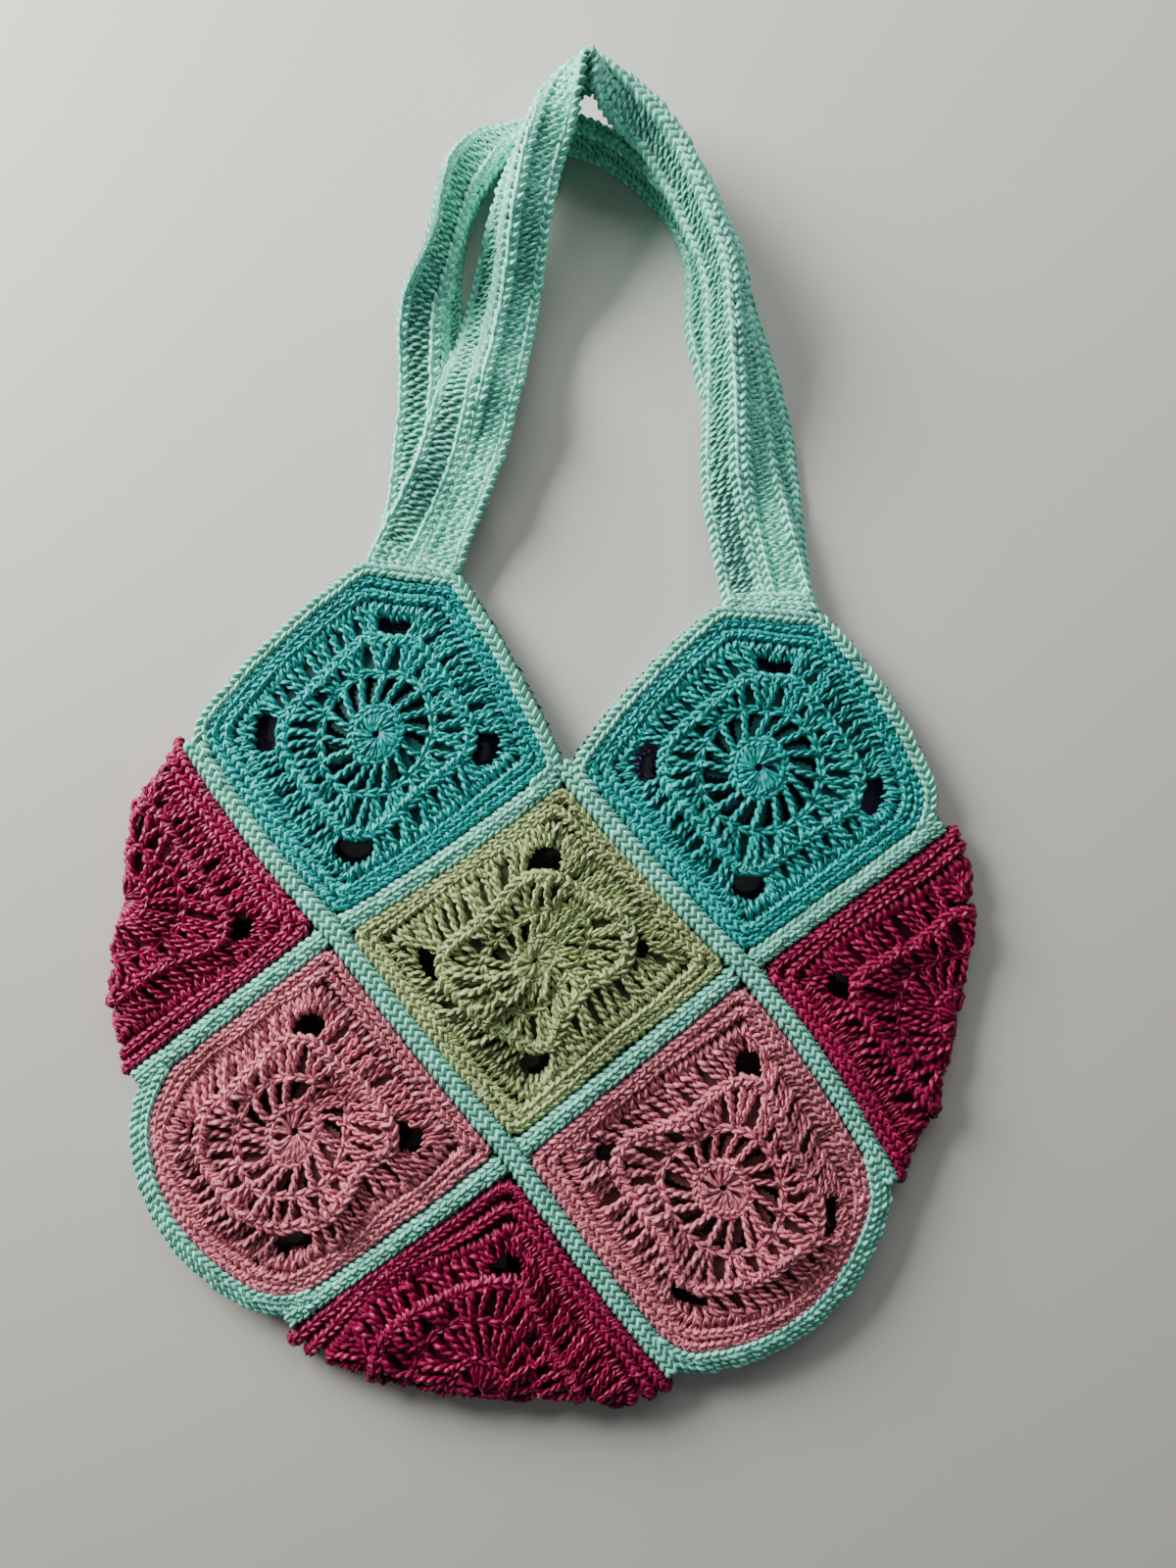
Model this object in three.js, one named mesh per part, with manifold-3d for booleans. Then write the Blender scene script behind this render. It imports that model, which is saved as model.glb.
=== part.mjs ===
// Crochet bag of thirteen granny squares, lying flat on its back with both straps laid out above it.
// Millimetres: X runs across the bag, Y runs towards the straps and Z is up.
// The origin is on the underside of the middle square of the back.
import * as THREE from 'three';
import Module from 'manifold-3d';
import { mergeVertices } from 'three/addons/utils/BufferGeometryUtils.js';

// Driving dimensions
const HALF_DIAGONAL = 99;
const WALL = 3.6;
const PIECE_GAP = 0.3;
const SEAM_END_GAP = 0.8;
const SEAM_WIDTH = 11;
const SEAM_THICKNESS = 4.4;
const RIM_WIDTH = 5.5;
const SIDE_SEAM_WIDTH = 10.5;
const EDGE_SPACE = 5;
const BELLY_SPACE = 8;
const RIDGE_HEIGHT = 1.3;
const STRAP_WIDTH = 39;
const STRAP_THICKNESS = 3.4;
const STRAP_END_WIDTH = 44;
const STRAP_REACH = 250;
const STRAP_CLIMB = 0.32;
const CROSSING_MARGIN = 5;

const MINT = 0x8ccdb9;
const TEAL = 0x32a098;
const PURPLE = 0x5f4b73;
const GREEN = 0xa5b478;
const PINK = 0xbe737d;
const MAGENTA = 0x961950;

// Where the squares meet, as shares of the half diagonal. round is the outline's corner radius and
// inner that of the coloured part of a square, both as shares of the half diagonal.
const LATTICE = {
  A: { x: -1.92, y: 0.9, round: 0.02, inner: 0.1 },
  B: { x: -0.85, y: 2.11, round: 0, inner: 0.04, strap: true },
  C: { x: 0.02, y: 0.945, round: 0.02, inner: 0.04 },
  D: { x: 0.925, y: 2.1, round: 0, inner: 0.04, strap: true },
  E: { x: 1.98, y: 0.94, round: 0.14, inner: 0.16 },
  F: { x: -1.04, y: 0, round: 0.02, inner: 0.04 },
  H: { x: 1.03, y: 0.07, round: 0.02, inner: 0.04 },
  I: { x: -0.01, y: -1.01, round: 0.02, inner: 0.04 },
  J: { x: -1.98, y: -0.92, round: 0.02, inner: 0.2 },
  K: { x: 1.935, y: -0.98, round: 0.02, inner: 0.12 },
  L: { x: -1.09, y: -2.03, round: 0.02, inner: 0.16 },
  M: { x: 0.985, y: -2.05, round: 0.02, inner: 0.1 },
};

// How far each side bows to the left of its way from the first corner to the second, as a share of the
// half diagonal.
const BOWS = {
  AB: 0.07, BC: 0.035, CD: 0.06, DE: 0.11,
  AF: -0.03, FI: -0.01, IM: -0.02, CH: -0.02, HK: 0.04,
  CF: 0.03, FJ: 0, HE: 0, HI: 0, IL: 0.01,
  JL: -0.26, KM: 0.255,
};

// Corners run counter-clockwise. A side runs from one corner to the next.
const SQUARES = [
  { name: 'peak_left', corners: 'AFCB', sides: ['seam', 'seam', 'rim', 'rim'], front: TEAL, back: PURPLE },
  { name: 'peak_right', corners: 'CHED', sides: ['seam', 'seam', 'rim', 'rim'], front: TEAL, back: PURPLE },
  { name: 'middle', corners: 'FIHC', sides: ['seam', 'seam', 'seam', 'seam'], front: GREEN, back: GREEN },
  { name: 'lower_left', corners: 'JLIF', sides: ['side', 'seam', 'seam', 'seam'], front: PINK, back: PINK },
  { name: 'lower_right', corners: 'IMKH', sides: ['seam', 'side', 'seam', 'seam'], front: PINK, back: PINK },
];

// Seams between squares. A seam that stops against another one names two corners of that other seam.
const SEAMS = [
  { name: 'long_left', path: 'AFIM' },
  { name: 'long_right', path: 'CHK' },
  { name: 'peak_left', path: 'CF', startsOn: 'CH', endsOn: 'AI' },
  { name: 'peak_right', path: 'HE', startsOn: 'CK' },
  { name: 'middle_lower', path: 'HI', startsOn: 'CK', endsOn: 'FM' },
  { name: 'side_left', path: 'FJ', startsOn: 'AI' },
  { name: 'bottom_left', path: 'IL', startsOn: 'FM' },
];

// Bordered free sides, as the square and the number of its side.
const RIMS = [
  { name: 'peak_left_inner', square: 'peak_left', side: 2 },
  { name: 'peak_left_outer', square: 'peak_left', side: 3 },
  { name: 'peak_right_outer', square: 'peak_right', side: 2 },
  { name: 'peak_right_inner', square: 'peak_right', side: 3 },
];
const SIDE_SEAMS = [
  { name: 'side_seam_left', square: 'lower_left', side: 0 },
  { name: 'side_seam_right', square: 'lower_right', side: 1 },
];

// Folded squares: along is the share of the way from the first corner to the last, and the other columns
// say how far each fold bulges past the straight line there, as shares of the half diagonal.
const FOLD_SECTIONS = [
  { along: 0.05, left: 0.07, right: 0.05, bottom: 0.13 },
  { along: 0.15, left: 0.155, right: 0.1, bottom: 0.18 },
  { along: 0.24, left: 0.185, right: 0.17, bottom: 0.185 },
  { along: 0.32, left: 0.215, right: 0.19, bottom: 0.23 },
  { along: 0.42, left: 0.2, right: 0.215, bottom: 0.235 },
  { along: 0.5, left: 0.2, right: 0.22, bottom: 0.235 },
  { along: 0.6, left: 0.21, right: 0.225, bottom: 0.225 },
  { along: 0.68, left: 0.2, right: 0.24, bottom: 0.21 },
  { along: 0.77, left: 0.165, right: 0.195, bottom: 0.16 },
  { along: 0.85, left: 0.15, right: 0.18, bottom: 0.185 },
  { along: 0.95, left: 0.08, right: 0.1, bottom: 0.11 },
];
const FOLDED = [
  { name: 'folded_left', corners: 'AFJ', column: 'left' },
  { name: 'folded_right', corners: 'KHE', column: 'right', flipped: true },
  { name: 'folded_bottom', corners: 'LIM', column: 'bottom' },
];

// The fold's arc takes up at most this share of a row.
const FOLD_ARC_LIMIT = 0.6;

// The corner hole of a folded square, as shares of the half diagonal, and how far it is from the fold to
// the corner. The two holes on the fold are notches, as shares of the hole's width and the bag's height.
const FOLD_HOLE = { wide: 0.16, deep: 0.1, place: 0.5 };
const NOTCH = { wide: 0.8, high: 0.5 };
const NOTCH_PLACES = [0.25, 0.77];

// The belly of the front: its middle and how far it reaches, as shares of the half diagonal.
const BELLY = { x: 0, y: -0.25, reach: 2.2 };

// Wrinkles of the front, where each stands as a share of the half diagonal, how wide and how high.
const WRINKLE_FALL = 1.5;
const WRINKLES = [
  { x: 0.22, y: -0.3, wide: 0.22, high: 0.032 },
  { x: 0, y: 0.42, wide: 0.26, high: 0.026 },
  { x: -0.35, y: -0.12, wide: 0.2, high: 0.018 },
  { x: 0.42, y: 0.2, wide: 0.2, high: 0.02 },
  { x: -1.1, y: -0.75, wide: 0.25, high: 0.03 },
  { x: -0.85, y: -1.3, wide: 0.25, high: 0.024 },
  { x: 1.2, y: -0.72, wide: 0.24, high: 0.03 },
  { x: 1.35, y: -1.3, wide: 0.22, high: 0.026 },
  { x: -0.95, y: 1.05, wide: 0.3, high: 0.016 },
  { x: 1, y: 1.05, wide: 0.3, high: 0.016 },
];

// Rings of a square from its middle to its border, as shares of the half side. gap marks the ring whose
// every second field is open between the posts, hole the ring with the four corner holes. They are round
// up to a share of the half side and turn square from there on.
const ROUND_SHARE = 0.45;
const FRONT_RINGS = [
  { share: 0.3, raise: 0.3 },
  { share: 0.42, raise: 0, gap: true },
  { share: 0.57, raise: 0.1 },
  { share: 0.63, raise: 1 },
  { share: 0.68, raise: 0.1 },
  { share: 0.79, raise: 0, hole: true },
  { share: 1, raise: 0 },
];
const FRONT_UNDER_RINGS = [0.3, 0.42, 0.68, 0.79, 1];
const BACK_RINGS = [
  { share: 0.68, raise: 0 },
  { share: 0.79, raise: 0, hole: true },
  { share: 1, raise: 0 },
];
const BACK_UNDER_RINGS = [0.68, 0.79, 1];
const FRONT_SECTORS = 32;
const BACK_QUARTER = [11.25, 33.75, 45, 56.25, 78.75];
const HOLE_SPREAD = 12;

// A border's inner corners are a little tighter than the square inside them, so that both stay clear.
const BORDER_ROUNDNESS = 0.7;

// Strap sections from the left peak over the top to the right peak. across runs from 0 at the left end to
// 1 at the right one, up is a share of the strap's reach. roll lifts the edge that lies inside the loop,
// roof bends the two halves down from the middle rib, both in degrees.
const FRONT_STRAP = [
  { across: 0, up: 0, roll: 0, roof: 0 },
  { across: 0.045, up: 0.094, roll: 0, roof: -12 },
  { across: 0.095, up: 0.209, roll: 0, roof: -14 },
  { across: 0.137, up: 0.372, roll: 4, roof: 16 },
  { across: 0.162, up: 0.543, roll: 10, roof: 28 },
  { across: 0.182, up: 0.753, roll: 22, roof: 38 },
  { across: 0.203, up: 0.852, roll: 36, roof: 38 },
  { across: 0.248, up: 0.935, roll: 62, roof: 24 },
  { across: 0.338, up: 0.998, roll: 88, roof: 12 },
  { across: 0.43, up: 0.965, roll: 55, roof: 34 },
  { across: 0.525, up: 0.915, roll: 22, roof: 50 },
  { across: 0.6, up: 0.855, roll: 12, roof: 54 },
  { across: 0.663, up: 0.785, roll: 8, roof: 54 },
  { across: 0.714, up: 0.72, roll: 6, roof: 54 },
  { across: 0.766, up: 0.645, roll: 4, roof: 54 },
  { across: 0.797, up: 0.555, roll: 4, roof: 52 },
  { across: 0.839, up: 0.41, roll: 2, roof: 38 },
  { across: 0.873, up: 0.265, roll: 0, roof: 20 },
  { across: 0.93, up: 0.139, roll: 0, roof: -8 },
  { across: 1, up: 0, roll: 0, roof: 0 },
];
const BACK_STRAP = [
  { across: 0, up: 0, roll: 0, roof: 0 },
  { across: 0.015, up: 0.08, roll: 0, roof: 4 },
  { across: 0.02, up: 0.246, roll: -6, roof: 12 },
  { across: 0.022, up: 0.368, roll: -16, roof: 20 },
  { across: 0.01, up: 0.488, roll: -38, roof: 20 },
  { across: 0.02, up: 0.549, roll: -60, roof: 16 },
  { across: 0.028, up: 0.617, roll: -76, roof: 12 },
  { across: 0.052, up: 0.712, roll: -74, roof: 20 },
  { across: 0.108, up: 0.8, roll: -52, roof: 46 },
  { across: 0.19, up: 0.872, roll: -22, roof: 60 },
  { across: 0.304, up: 0.91, roll: -4, roof: 64 },
  { across: 0.427, up: 0.885, roll: -4, roof: 64 },
  { across: 0.53, up: 0.836, roll: -6, roof: 66 },
  { across: 0.642, up: 0.76, roll: -8, roof: 64 },
  { across: 0.718, up: 0.68, roll: -8, roof: 50 },
  { across: 0.76, up: 0.6, roll: -4, roof: 30 },
  { across: 0.805, up: 0.52, roll: 0, roof: 18 },
  { across: 0.875, up: 0.4, roll: 0, roof: 10 },
  { across: 0.925, up: 0.27, roll: 0, roof: 6 },
  { across: 0.965, up: 0.14, roll: 0, roof: 2 },
  { across: 1, up: 0, roll: 0, roof: 0 },
];

// Finenesses
const SEAM_STEPS = 5;
const RIM_STEPS = 9;
const SIDE_SEAM_STEPS = 12;
const STRAP_STEPS = 32;
const FOLD_ARC_STEPS = 4;
const FOLD_LEG_STEPS = 3;
const HOLE_SIDES = 10;

// Plane helpers
const add = (a, b, share = 1) => ({ x: a.x + b.x * share, y: a.y + b.y * share });
const times = (a, share) => ({ x: a.x * share, y: a.y * share });
const minus = (a, b) => ({ x: a.x - b.x, y: a.y - b.y });
const mix = (a, b, share) => add(a, minus(b, a), share);
const cross = (a, b) => a.x * b.y - a.y * b.x;
const dot = (a, b) => a.x * b.x + a.y * b.y;
const leftOf = (a) => ({ x: -a.y, y: a.x });
const unit = (a) => {
  const length = Math.hypot(a.x, a.y);
  return { x: a.x / length, y: a.y / length };
};
const away = (a, b) => Math.hypot(a.x - b.x, a.y - b.y);
const radians = THREE.MathUtils.degToRad;

function corner(name) {
  return { x: LATTICE[name].x * HALF_DIAGONAL, y: LATTICE[name].y * HALF_DIAGONAL };
}

function bow(from, to) {
  const share = from + to in BOWS ? BOWS[from + to] : -(BOWS[to + from] ?? 0);
  return share * HALF_DIAGONAL;
}

// A side from one point to another, bowed to its left by the given height.
function bowedSide(from, to, height) {
  const side = leftOf(unit(minus(to, from)));
  return (share) => add(mix(from, to, share), side, 4 * share * (1 - share) * height);
}

// The height of the front's underside above what the bag rests on.
function frontUnderside(point) {
  const x = point.x / HALF_DIAGONAL;
  const y = point.y / HALF_DIAGONAL;
  const belly = Math.max(0, 1 - ((x - BELLY.x) ** 2 + (y - BELLY.y) ** 2) / BELLY.reach ** 2);
  let wrinkle = 0;
  for (const row of WRINKLES) {
    const far = ((x - row.x) ** 2 + (y - row.y) ** 2) / row.wide ** 2;
    wrinkle += row.high * Math.exp(-far * WRINKLE_FALL);
  }
  return WALL + EDGE_SPACE + BELLY_SPACE * belly + HALF_DIAGONAL * wrinkle;
}

const flatUnderside = () => 0;

// A square with each side drawn in by its own depth, as a patch that maps (-1..1, -1..1) to the plane.
function squarePatch(square, depths, roundness = 1) {
  const names = [...square.corners];
  const points = names.map(corner);
  const drawn = points.map((point, index) => {
    const next = unit(minus(points[(index + 1) % 4], point));
    const last = unit(minus(points[(index + 3) % 4], point));
    const sine = Math.abs(cross(next, last));
    return add(add(point, last, depths[index] / sine), next, depths[(index + 3) % 4] / sine);
  });
  const sides = drawn.map((point, index) => {
    const to = (index + 1) % 4;
    return bowedSide(point, drawn[to], bow(names[index], names[to]));
  });
  const place = (s, t) => {
    const u = (s + 1) / 2;
    const v = (t + 1) / 2;
    const across = mix(sides[0](u), sides[2](1 - u), v);
    const along = mix(sides[3](1 - v), sides[1](v), u);
    const flat = mix(mix(drawn[0], drawn[1], u), mix(drawn[3], drawn[2], u), v);
    return minus(add(across, along), flat);
  };
  return { place, cuts: drawn.map((point, index) => cornerCut(names, drawn, depths, index, roundness)) };
}

// How a corner of a patch is cut: straight across where a strap sits, round elsewhere.
function cornerCut(names, drawn, depths, index, roundness) {
  const point = drawn[index];
  const next = minus(drawn[(index + 1) % 4], point);
  const last = minus(drawn[(index + 3) % 4], point);
  const side = (Math.hypot(next.x, next.y) + Math.hypot(last.x, last.y)) / 2;
  const row = LATTICE[names[index]];
  const depth = Math.max(depths[index], depths[(index + 3) % 4]);
  if (row.strap) {
    const half = Math.acos(dot(unit(next), unit(last))) / 2;
    const height = STRAP_END_WIDTH / (2 * Math.tan(half)) + depth - depth / Math.sin(half);
    return { straight: true, share: (2 * height) / (Math.cos(half) * side) };
  }
  const radius = (depth > 0 ? row.inner * roundness : row.round) * HALF_DIAGONAL;
  return { straight: false, share: (2 * radius) / side };
}

// How far the cut square reaches from its middle in a direction, where an uncut side is 1 away.
function reachOfCut(angle, cuts) {
  const quarter = Math.floor((((angle % (2 * Math.PI)) + 2 * Math.PI) % (2 * Math.PI)) / (Math.PI / 2));
  const cut = cuts[[2, 3, 0, 1][quarter]];
  const across = Math.abs(Math.cos(angle));
  const along = Math.abs(Math.sin(angle));
  const more = Math.max(across, along);
  const less = Math.min(across, along);
  if (cut.straight) {
    return Math.min(1 / more, (2 - cut.share) / (more + less));
  }
  const middle = 1 - cut.share;
  if (less / more < middle) {
    return 1 / more;
  }
  const along45 = middle * (more + less);
  return along45 + Math.sqrt(Math.max(0, along45 ** 2 - 2 * middle ** 2 + cut.share ** 2));
}

const smooth = (share) => share * share * (3 - 2 * share);

// A point of a square's ring: round near the middle and square at the border.
function ringPoint(patch, share, angle) {
  const squareness = smooth(THREE.MathUtils.clamp((share - ROUND_SHARE) / (1 - ROUND_SHARE), 0, 1));
  const reach = share * (1 + (reachOfCut(angle, patch.cuts) - 1) * squareness);
  return patch.place(reach * Math.cos(angle), reach * Math.sin(angle));
}

// Collects corners and faces of one closed body.
class Body {
  constructor() {
    this.points = [];
    this.faces = [];
  }

  point(plan, z) {
    this.points.push(plan.x, plan.y, z);
    return this.points.length / 3 - 1;
  }

  triangle(a, b, c) {
    this.faces.push(a, b, c);
  }

  quad(a, b, c, d) {
    this.triangle(a, b, c);
    this.triangle(a, c, d);
  }

  // Joins closed sections of equal count into a tube with flat ends.
  loft(sections) {
    const count = sections[0].length;
    for (let step = 0; step + 1 < sections.length; step += 1) {
      for (let index = 0; index < count; index += 1) {
        const next = (index + 1) % count;
        const [here, there] = [sections[step], sections[step + 1]];
        this.quad(here[index], here[next], there[next], there[index]);
      }
    }
  }

  geometry() {
    const geometry = new THREE.BufferGeometry();
    geometry.setAttribute('position', new THREE.Float32BufferAttribute(this.points, 3));
    geometry.setIndex(this.faces);
    return geometry;
  }
}

function clothMaterial(colour) {
  return new THREE.MeshStandardMaterial({ color: colour, roughness: 0.75, metalness: 0 });
}

function addMesh(group, name, geometry, colour) {
  const mesh = new THREE.Mesh(outwardFacing(geometry), clothMaterial(colour));
  mesh.name = name;
  group.add(mesh);
}

// A flat granny square: a slab of rings round the middle, with its open fields left out.
function squareSlab(patch, rings, underRings, angles, underside) {
  const body = new Body();
  const count = angles.length;
  const lay = (shares, lift) => shares.map(({ share, raise = 0 }) => angles.map((angle) => {
    const plan = ringPoint(patch, share, angle);
    return body.point(plan, underside(plan) + lift + raise * RIDGE_HEIGHT * (lift > 0 ? 1 : 0));
  }));
  const top = lay(rings, WALL);
  const under = lay(underRings.map((share) => ({ share })), 0);
  const middle = patch.place(0, 0);
  const topMiddle = body.point(middle, underside(middle) + WALL);
  const underMiddle = body.point(middle, underside(middle));
  const isOpen = (ring, sector) => {
    if (ring?.gap) {
      return sector % 2 === 0;
    }
    return Boolean(ring?.hole) && nearCorner((angles[sector] + nextAngle(angles, sector)) / 2);
  };
  for (let sector = 0; sector < count; sector += 1) {
    const next = (sector + 1) % count;
    const last = (sector + count - 1) % count;
    body.triangle(topMiddle, top[0][sector], top[0][next]);
    body.triangle(underMiddle, under[0][next], under[0][sector]);
    for (let ring = 1; ring < rings.length; ring += 1) {
      if (!isOpen(rings[ring], sector)) {
        body.quad(top[ring - 1][sector], top[ring][sector], top[ring][next], top[ring - 1][next]);
      }
    }
    for (let ring = 1; ring < underRings.length; ring += 1) {
      const inner = rings.findIndex((row) => row.share === underRings[ring - 1]);
      const outer = rings.findIndex((row) => row.share === underRings[ring]);
      if (!isOpen(rings[outer], sector)) {
        body.quad(under[ring - 1][next], under[ring][next], under[ring][sector], under[ring - 1][sector]);
        if (isOpen(rings[outer], next)) {
          body.quad(top[inner][next], top[outer][next], under[ring][next], under[ring - 1][next]);
        }
        if (isOpen(rings[outer], last)) {
          body.quad(top[outer][sector], top[inner][sector], under[ring - 1][sector], under[ring][sector]);
        }
      } else {
        body.quad(top[inner][next], top[inner][sector], under[ring - 1][sector], under[ring - 1][next]);
        body.quad(top[outer][sector], top[outer][next], under[ring][next], under[ring][sector]);
      }
    }
    const rim = rings.length - 1;
    const underRim = underRings.length - 1;
    body.quad(top[rim][next], top[rim][sector], under[underRim][sector], under[underRim][next]);
  }
  return body.geometry();
}

function nextAngle(angles, sector) {
  return sector + 1 < angles.length ? angles[sector + 1] : angles[0] + 2 * Math.PI;
}

function nearCorner(angle) {
  const fromCorner = Math.abs(((THREE.MathUtils.radToDeg(angle) + 360) % 90) - 45);
  return fromCorner < HOLE_SPREAD;
}

function frontAngles() {
  return Array.from({ length: FRONT_SECTORS }, (_, index) => (index * 2 * Math.PI) / FRONT_SECTORS);
}

function backAngles() {
  return [0, 90, 180, 270].flatMap((quarter) => BACK_QUARTER.map((angle) => radians(quarter + angle)));
}

const SIDE_DEPTHS = { seam: SEAM_WIDTH / 2, rim: RIM_WIDTH, side: SIDE_SEAM_WIDTH };

function colouredPatch(square) {
  return squarePatch(square, square.sides.map((kind) => SIDE_DEPTHS[kind] + PIECE_GAP));
}

function addSquares(group) {
  for (const square of SQUARES) {
    const patch = colouredPatch(square);
    const rings = FRONT_RINGS.map((row) => ({ ...row, gap: row.gap && square.name !== 'middle' }));
    const front = squareSlab(patch, rings, FRONT_UNDER_RINGS, frontAngles(), frontUnderside);
    addMesh(group, `front_${square.name}_square`, front, square.front);
    const back = squareSlab(patch, BACK_RINGS, BACK_UNDER_RINGS, backAngles(), flatUnderside);
    addMesh(group, `back_${square.name}_square`, back, square.back);
  }
}

// Lofts a strip whose stations each hold their section as points in the plane with a height.
function stripBody(stations) {
  const body = new Body();
  const sections = stations.map((section) => section.map(({ plan, z }) => body.point(plan, z)));
  body.loft(sections);
  capEnds(body, sections);
  return body.geometry();
}

function capEnds(body, sections) {
  const first = sections[0];
  const last = sections[sections.length - 1];
  for (let index = 1; index + 1 < first.length; index += 1) {
    body.triangle(first[0], first[index + 1], first[index]);
    body.triangle(last[0], last[index], last[index + 1]);
  }
}

// Two braided rows side by side: how far each point of the section is to the left, and how high.
const BRAID_SECTION = [
  { left: 0, high: 0.78 }, { left: 0.5, high: 1 }, { left: 1, high: 0.55 }, { left: 1, high: 0 },
  { left: -1, high: 0 }, { left: -1, high: 0.55 }, { left: -0.5, high: 1 },
];
const PLAIN_SECTION = [
  { left: 1, high: 1 }, { left: 1, high: 0 }, { left: -1, high: 0 }, { left: -1, high: 1 },
];

function seamStations(seam) {
  const names = [...seam.path];
  const line = [];
  for (let part = 0; part + 1 < names.length; part += 1) {
    const side = bowedSide(corner(names[part]), corner(names[part + 1]), bow(names[part], names[part + 1]));
    for (let step = part === 0 ? 0 : 1; step <= SEAM_STEPS; step += 1) {
      line.push(side(step / SEAM_STEPS));
    }
  }
  const stations = line.map((plan, index) => {
    const before = line[Math.max(0, index - 1)];
    const after = line[Math.min(line.length - 1, index + 1)];
    return { plan, left: leftOf(unit(minus(after, before))) };
  });
  const last = stations.length - 1;
  trimEnd(stations, 0, 1, seam.startsOn, LATTICE[names[0]].round);
  trimEnd(stations, last, last - 1, seam.endsOn, LATTICE[names.at(-1)].round);
  return stations;
}

// Draws a seam's end back from the seam that it stops on, and slants it to that seam.
function trimEnd(stations, end, inner, crossing, round) {
  const here = stations[end];
  const inward = unit(minus(stations[inner].plan, here.plan));
  if (!crossing) {
    here.plan = add(here.plan, inward, (round * HALF_DIAGONAL) / 2);
    return;
  }
  const way = unit(minus(corner(crossing[1]), corner(crossing[0])));
  const sine = Math.abs(cross(way, inward));
  here.plan = add(here.plan, inward, (SEAM_WIDTH / 2 + SEAM_END_GAP) / sine);
  here.left = times(way, Math.sign(dot(way, here.left)) / sine);
}

function seamGeometry(seam, profile, underside) {
  return stripBody(seamStations(seam).map(({ plan, left }) => profile.map((row) => {
    const point = add(plan, left, (row.left * SEAM_WIDTH) / 2);
    return { plan: point, z: underside(point) + row.high * SEAM_THICKNESS };
  })));
}

function addSeams(group) {
  for (const seam of SEAMS) {
    addMesh(group, `front_seam_${seam.name}`, seamGeometry(seam, BRAID_SECTION, frontUnderside), MINT);
    addMesh(group, `back_seam_${seam.name}`, seamGeometry(seam, PLAIN_SECTION, flatUnderside), MINT);
  }
}

// The border along one side of a square, as pairs of points on its outer and its inner line.
function borderPairs(square, side, width, steps) {
  const depths = square.sides.map((kind) => (kind === 'seam' ? 0 : width));
  const outer = squarePatch(square, [0, 0, 0, 0]);
  const inner = squarePatch(square, depths, BORDER_ROUNDNESS);
  const from = corner(square.corners[side]);
  const to = corner(square.corners[(side + 1) % 4]);
  const seamShare = (2 * (SEAM_WIDTH / 2 + SEAM_END_GAP)) / away(from, to);
  const ends = [endPlace(square, side, seamShare), endPlace(square, (side + 1) % 4, seamShare)];
  const pairs = [];
  for (let step = 0; step <= steps; step += 1) {
    pairs.push(sidePair(outer, inner, side, ends, step / steps));
  }
  for (const [index, end] of ends.entries()) {
    if (end.strap) {
      const middle = [outer, inner].map((patch) => flatMiddle(patch, (side + index) % 4, index));
      pairs.splice(index === 0 ? 0 : pairs.length, 0, middle);
    }
  }
  return pairs;
}

function endPlace(square, index, seamShare) {
  const strap = Boolean(LATTICE[square.corners[index]].strap);
  return { strap, seamShare };
}

// Places (along, across) of a side in a patch, along running from -1 to 1 counter-clockwise.
function onSide(patch, side, along, across) {
  const [s, t] = [[along, -across], [across, along], [-along, across], [-across, -along]][side];
  return patch.place(s, t);
}

function sidePair(outer, inner, side, ends, share) {
  return [outer, inner].map((patch) => {
    const cuts = [patch.cuts[side], patch.cuts[(side + 1) % 4]];
    const start = -1 + (ends[0].strap ? cuts[0].share : ends[0].seamShare);
    const finish = 1 - (ends[1].strap ? cuts[1].share : ends[1].seamShare);
    const along = start + (finish - start) * share;
    const cut = along < 0 ? cuts[0] : cuts[1];
    const intoCut = cut.share - (1 - Math.abs(along));
    const isRound = !cut.straight && intoCut > 0;
    const across = isRound ? 1 - cut.share + Math.sqrt(cut.share ** 2 - intoCut ** 2) : 1;
    return onSide(patch, side, along, across);
  });
}

// The middle of a strap's straight corner, kept half a gap to this side of it.
function flatMiddle(patch, index, atFinish) {
  const cut = patch.cuts[index].share;
  const place = (share) => onSide(patch, index, -1 + cut * share, 1 - cut * (1 - share));
  const [here, there] = [place(0.5), place(atFinish ? 0 : 1)];
  return mix(here, there, PIECE_GAP / STRAP_END_WIDTH);
}

// The section of a border: how far each point is on the way from the outer to the inner line, and how high.
const BORDER_SECTION = [
  { inward: 0.12, high: 0 }, { inward: 0, high: 0.4 }, { inward: 0.3, high: 1 }, { inward: 1, high: 0.9 },
  { inward: 1, high: 0 },
];

// A free rim or a side seam between its outer and inner line.
function borderGeometry(pairs, bottom, top) {
  return stripBody(pairs.map(([outer, inner]) => BORDER_SECTION.map((row) => {
    const plan = mix(outer, inner, row.inward);
    return { plan, z: THREE.MathUtils.lerp(bottom(plan), top(plan), row.high) };
  })));
}

const squareNamed = (name) => SQUARES.find((square) => square.name === name);

function addBorders(group) {
  for (const rim of RIMS) {
    const pairs = borderPairs(squareNamed(rim.square), rim.side, RIM_WIDTH, RIM_STEPS);
    for (const [layer, underside] of [['front', frontUnderside], ['back', flatUnderside]]) {
      const geometry = borderGeometry(pairs, underside, (point) => underside(point) + SEAM_THICKNESS);
      addMesh(group, `${layer}_rim_${rim.name}`, geometry, MINT);
    }
  }
  for (const seam of SIDE_SEAMS) {
    const pairs = borderPairs(squareNamed(seam.square), seam.side, SIDE_SEAM_WIDTH, SIDE_SEAM_STEPS);
    const top = (point) => frontUnderside(point) + SEAM_THICKNESS;
    addMesh(group, seam.name, borderGeometry(pairs, flatUnderside, top), MINT);
  }
}

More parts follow.
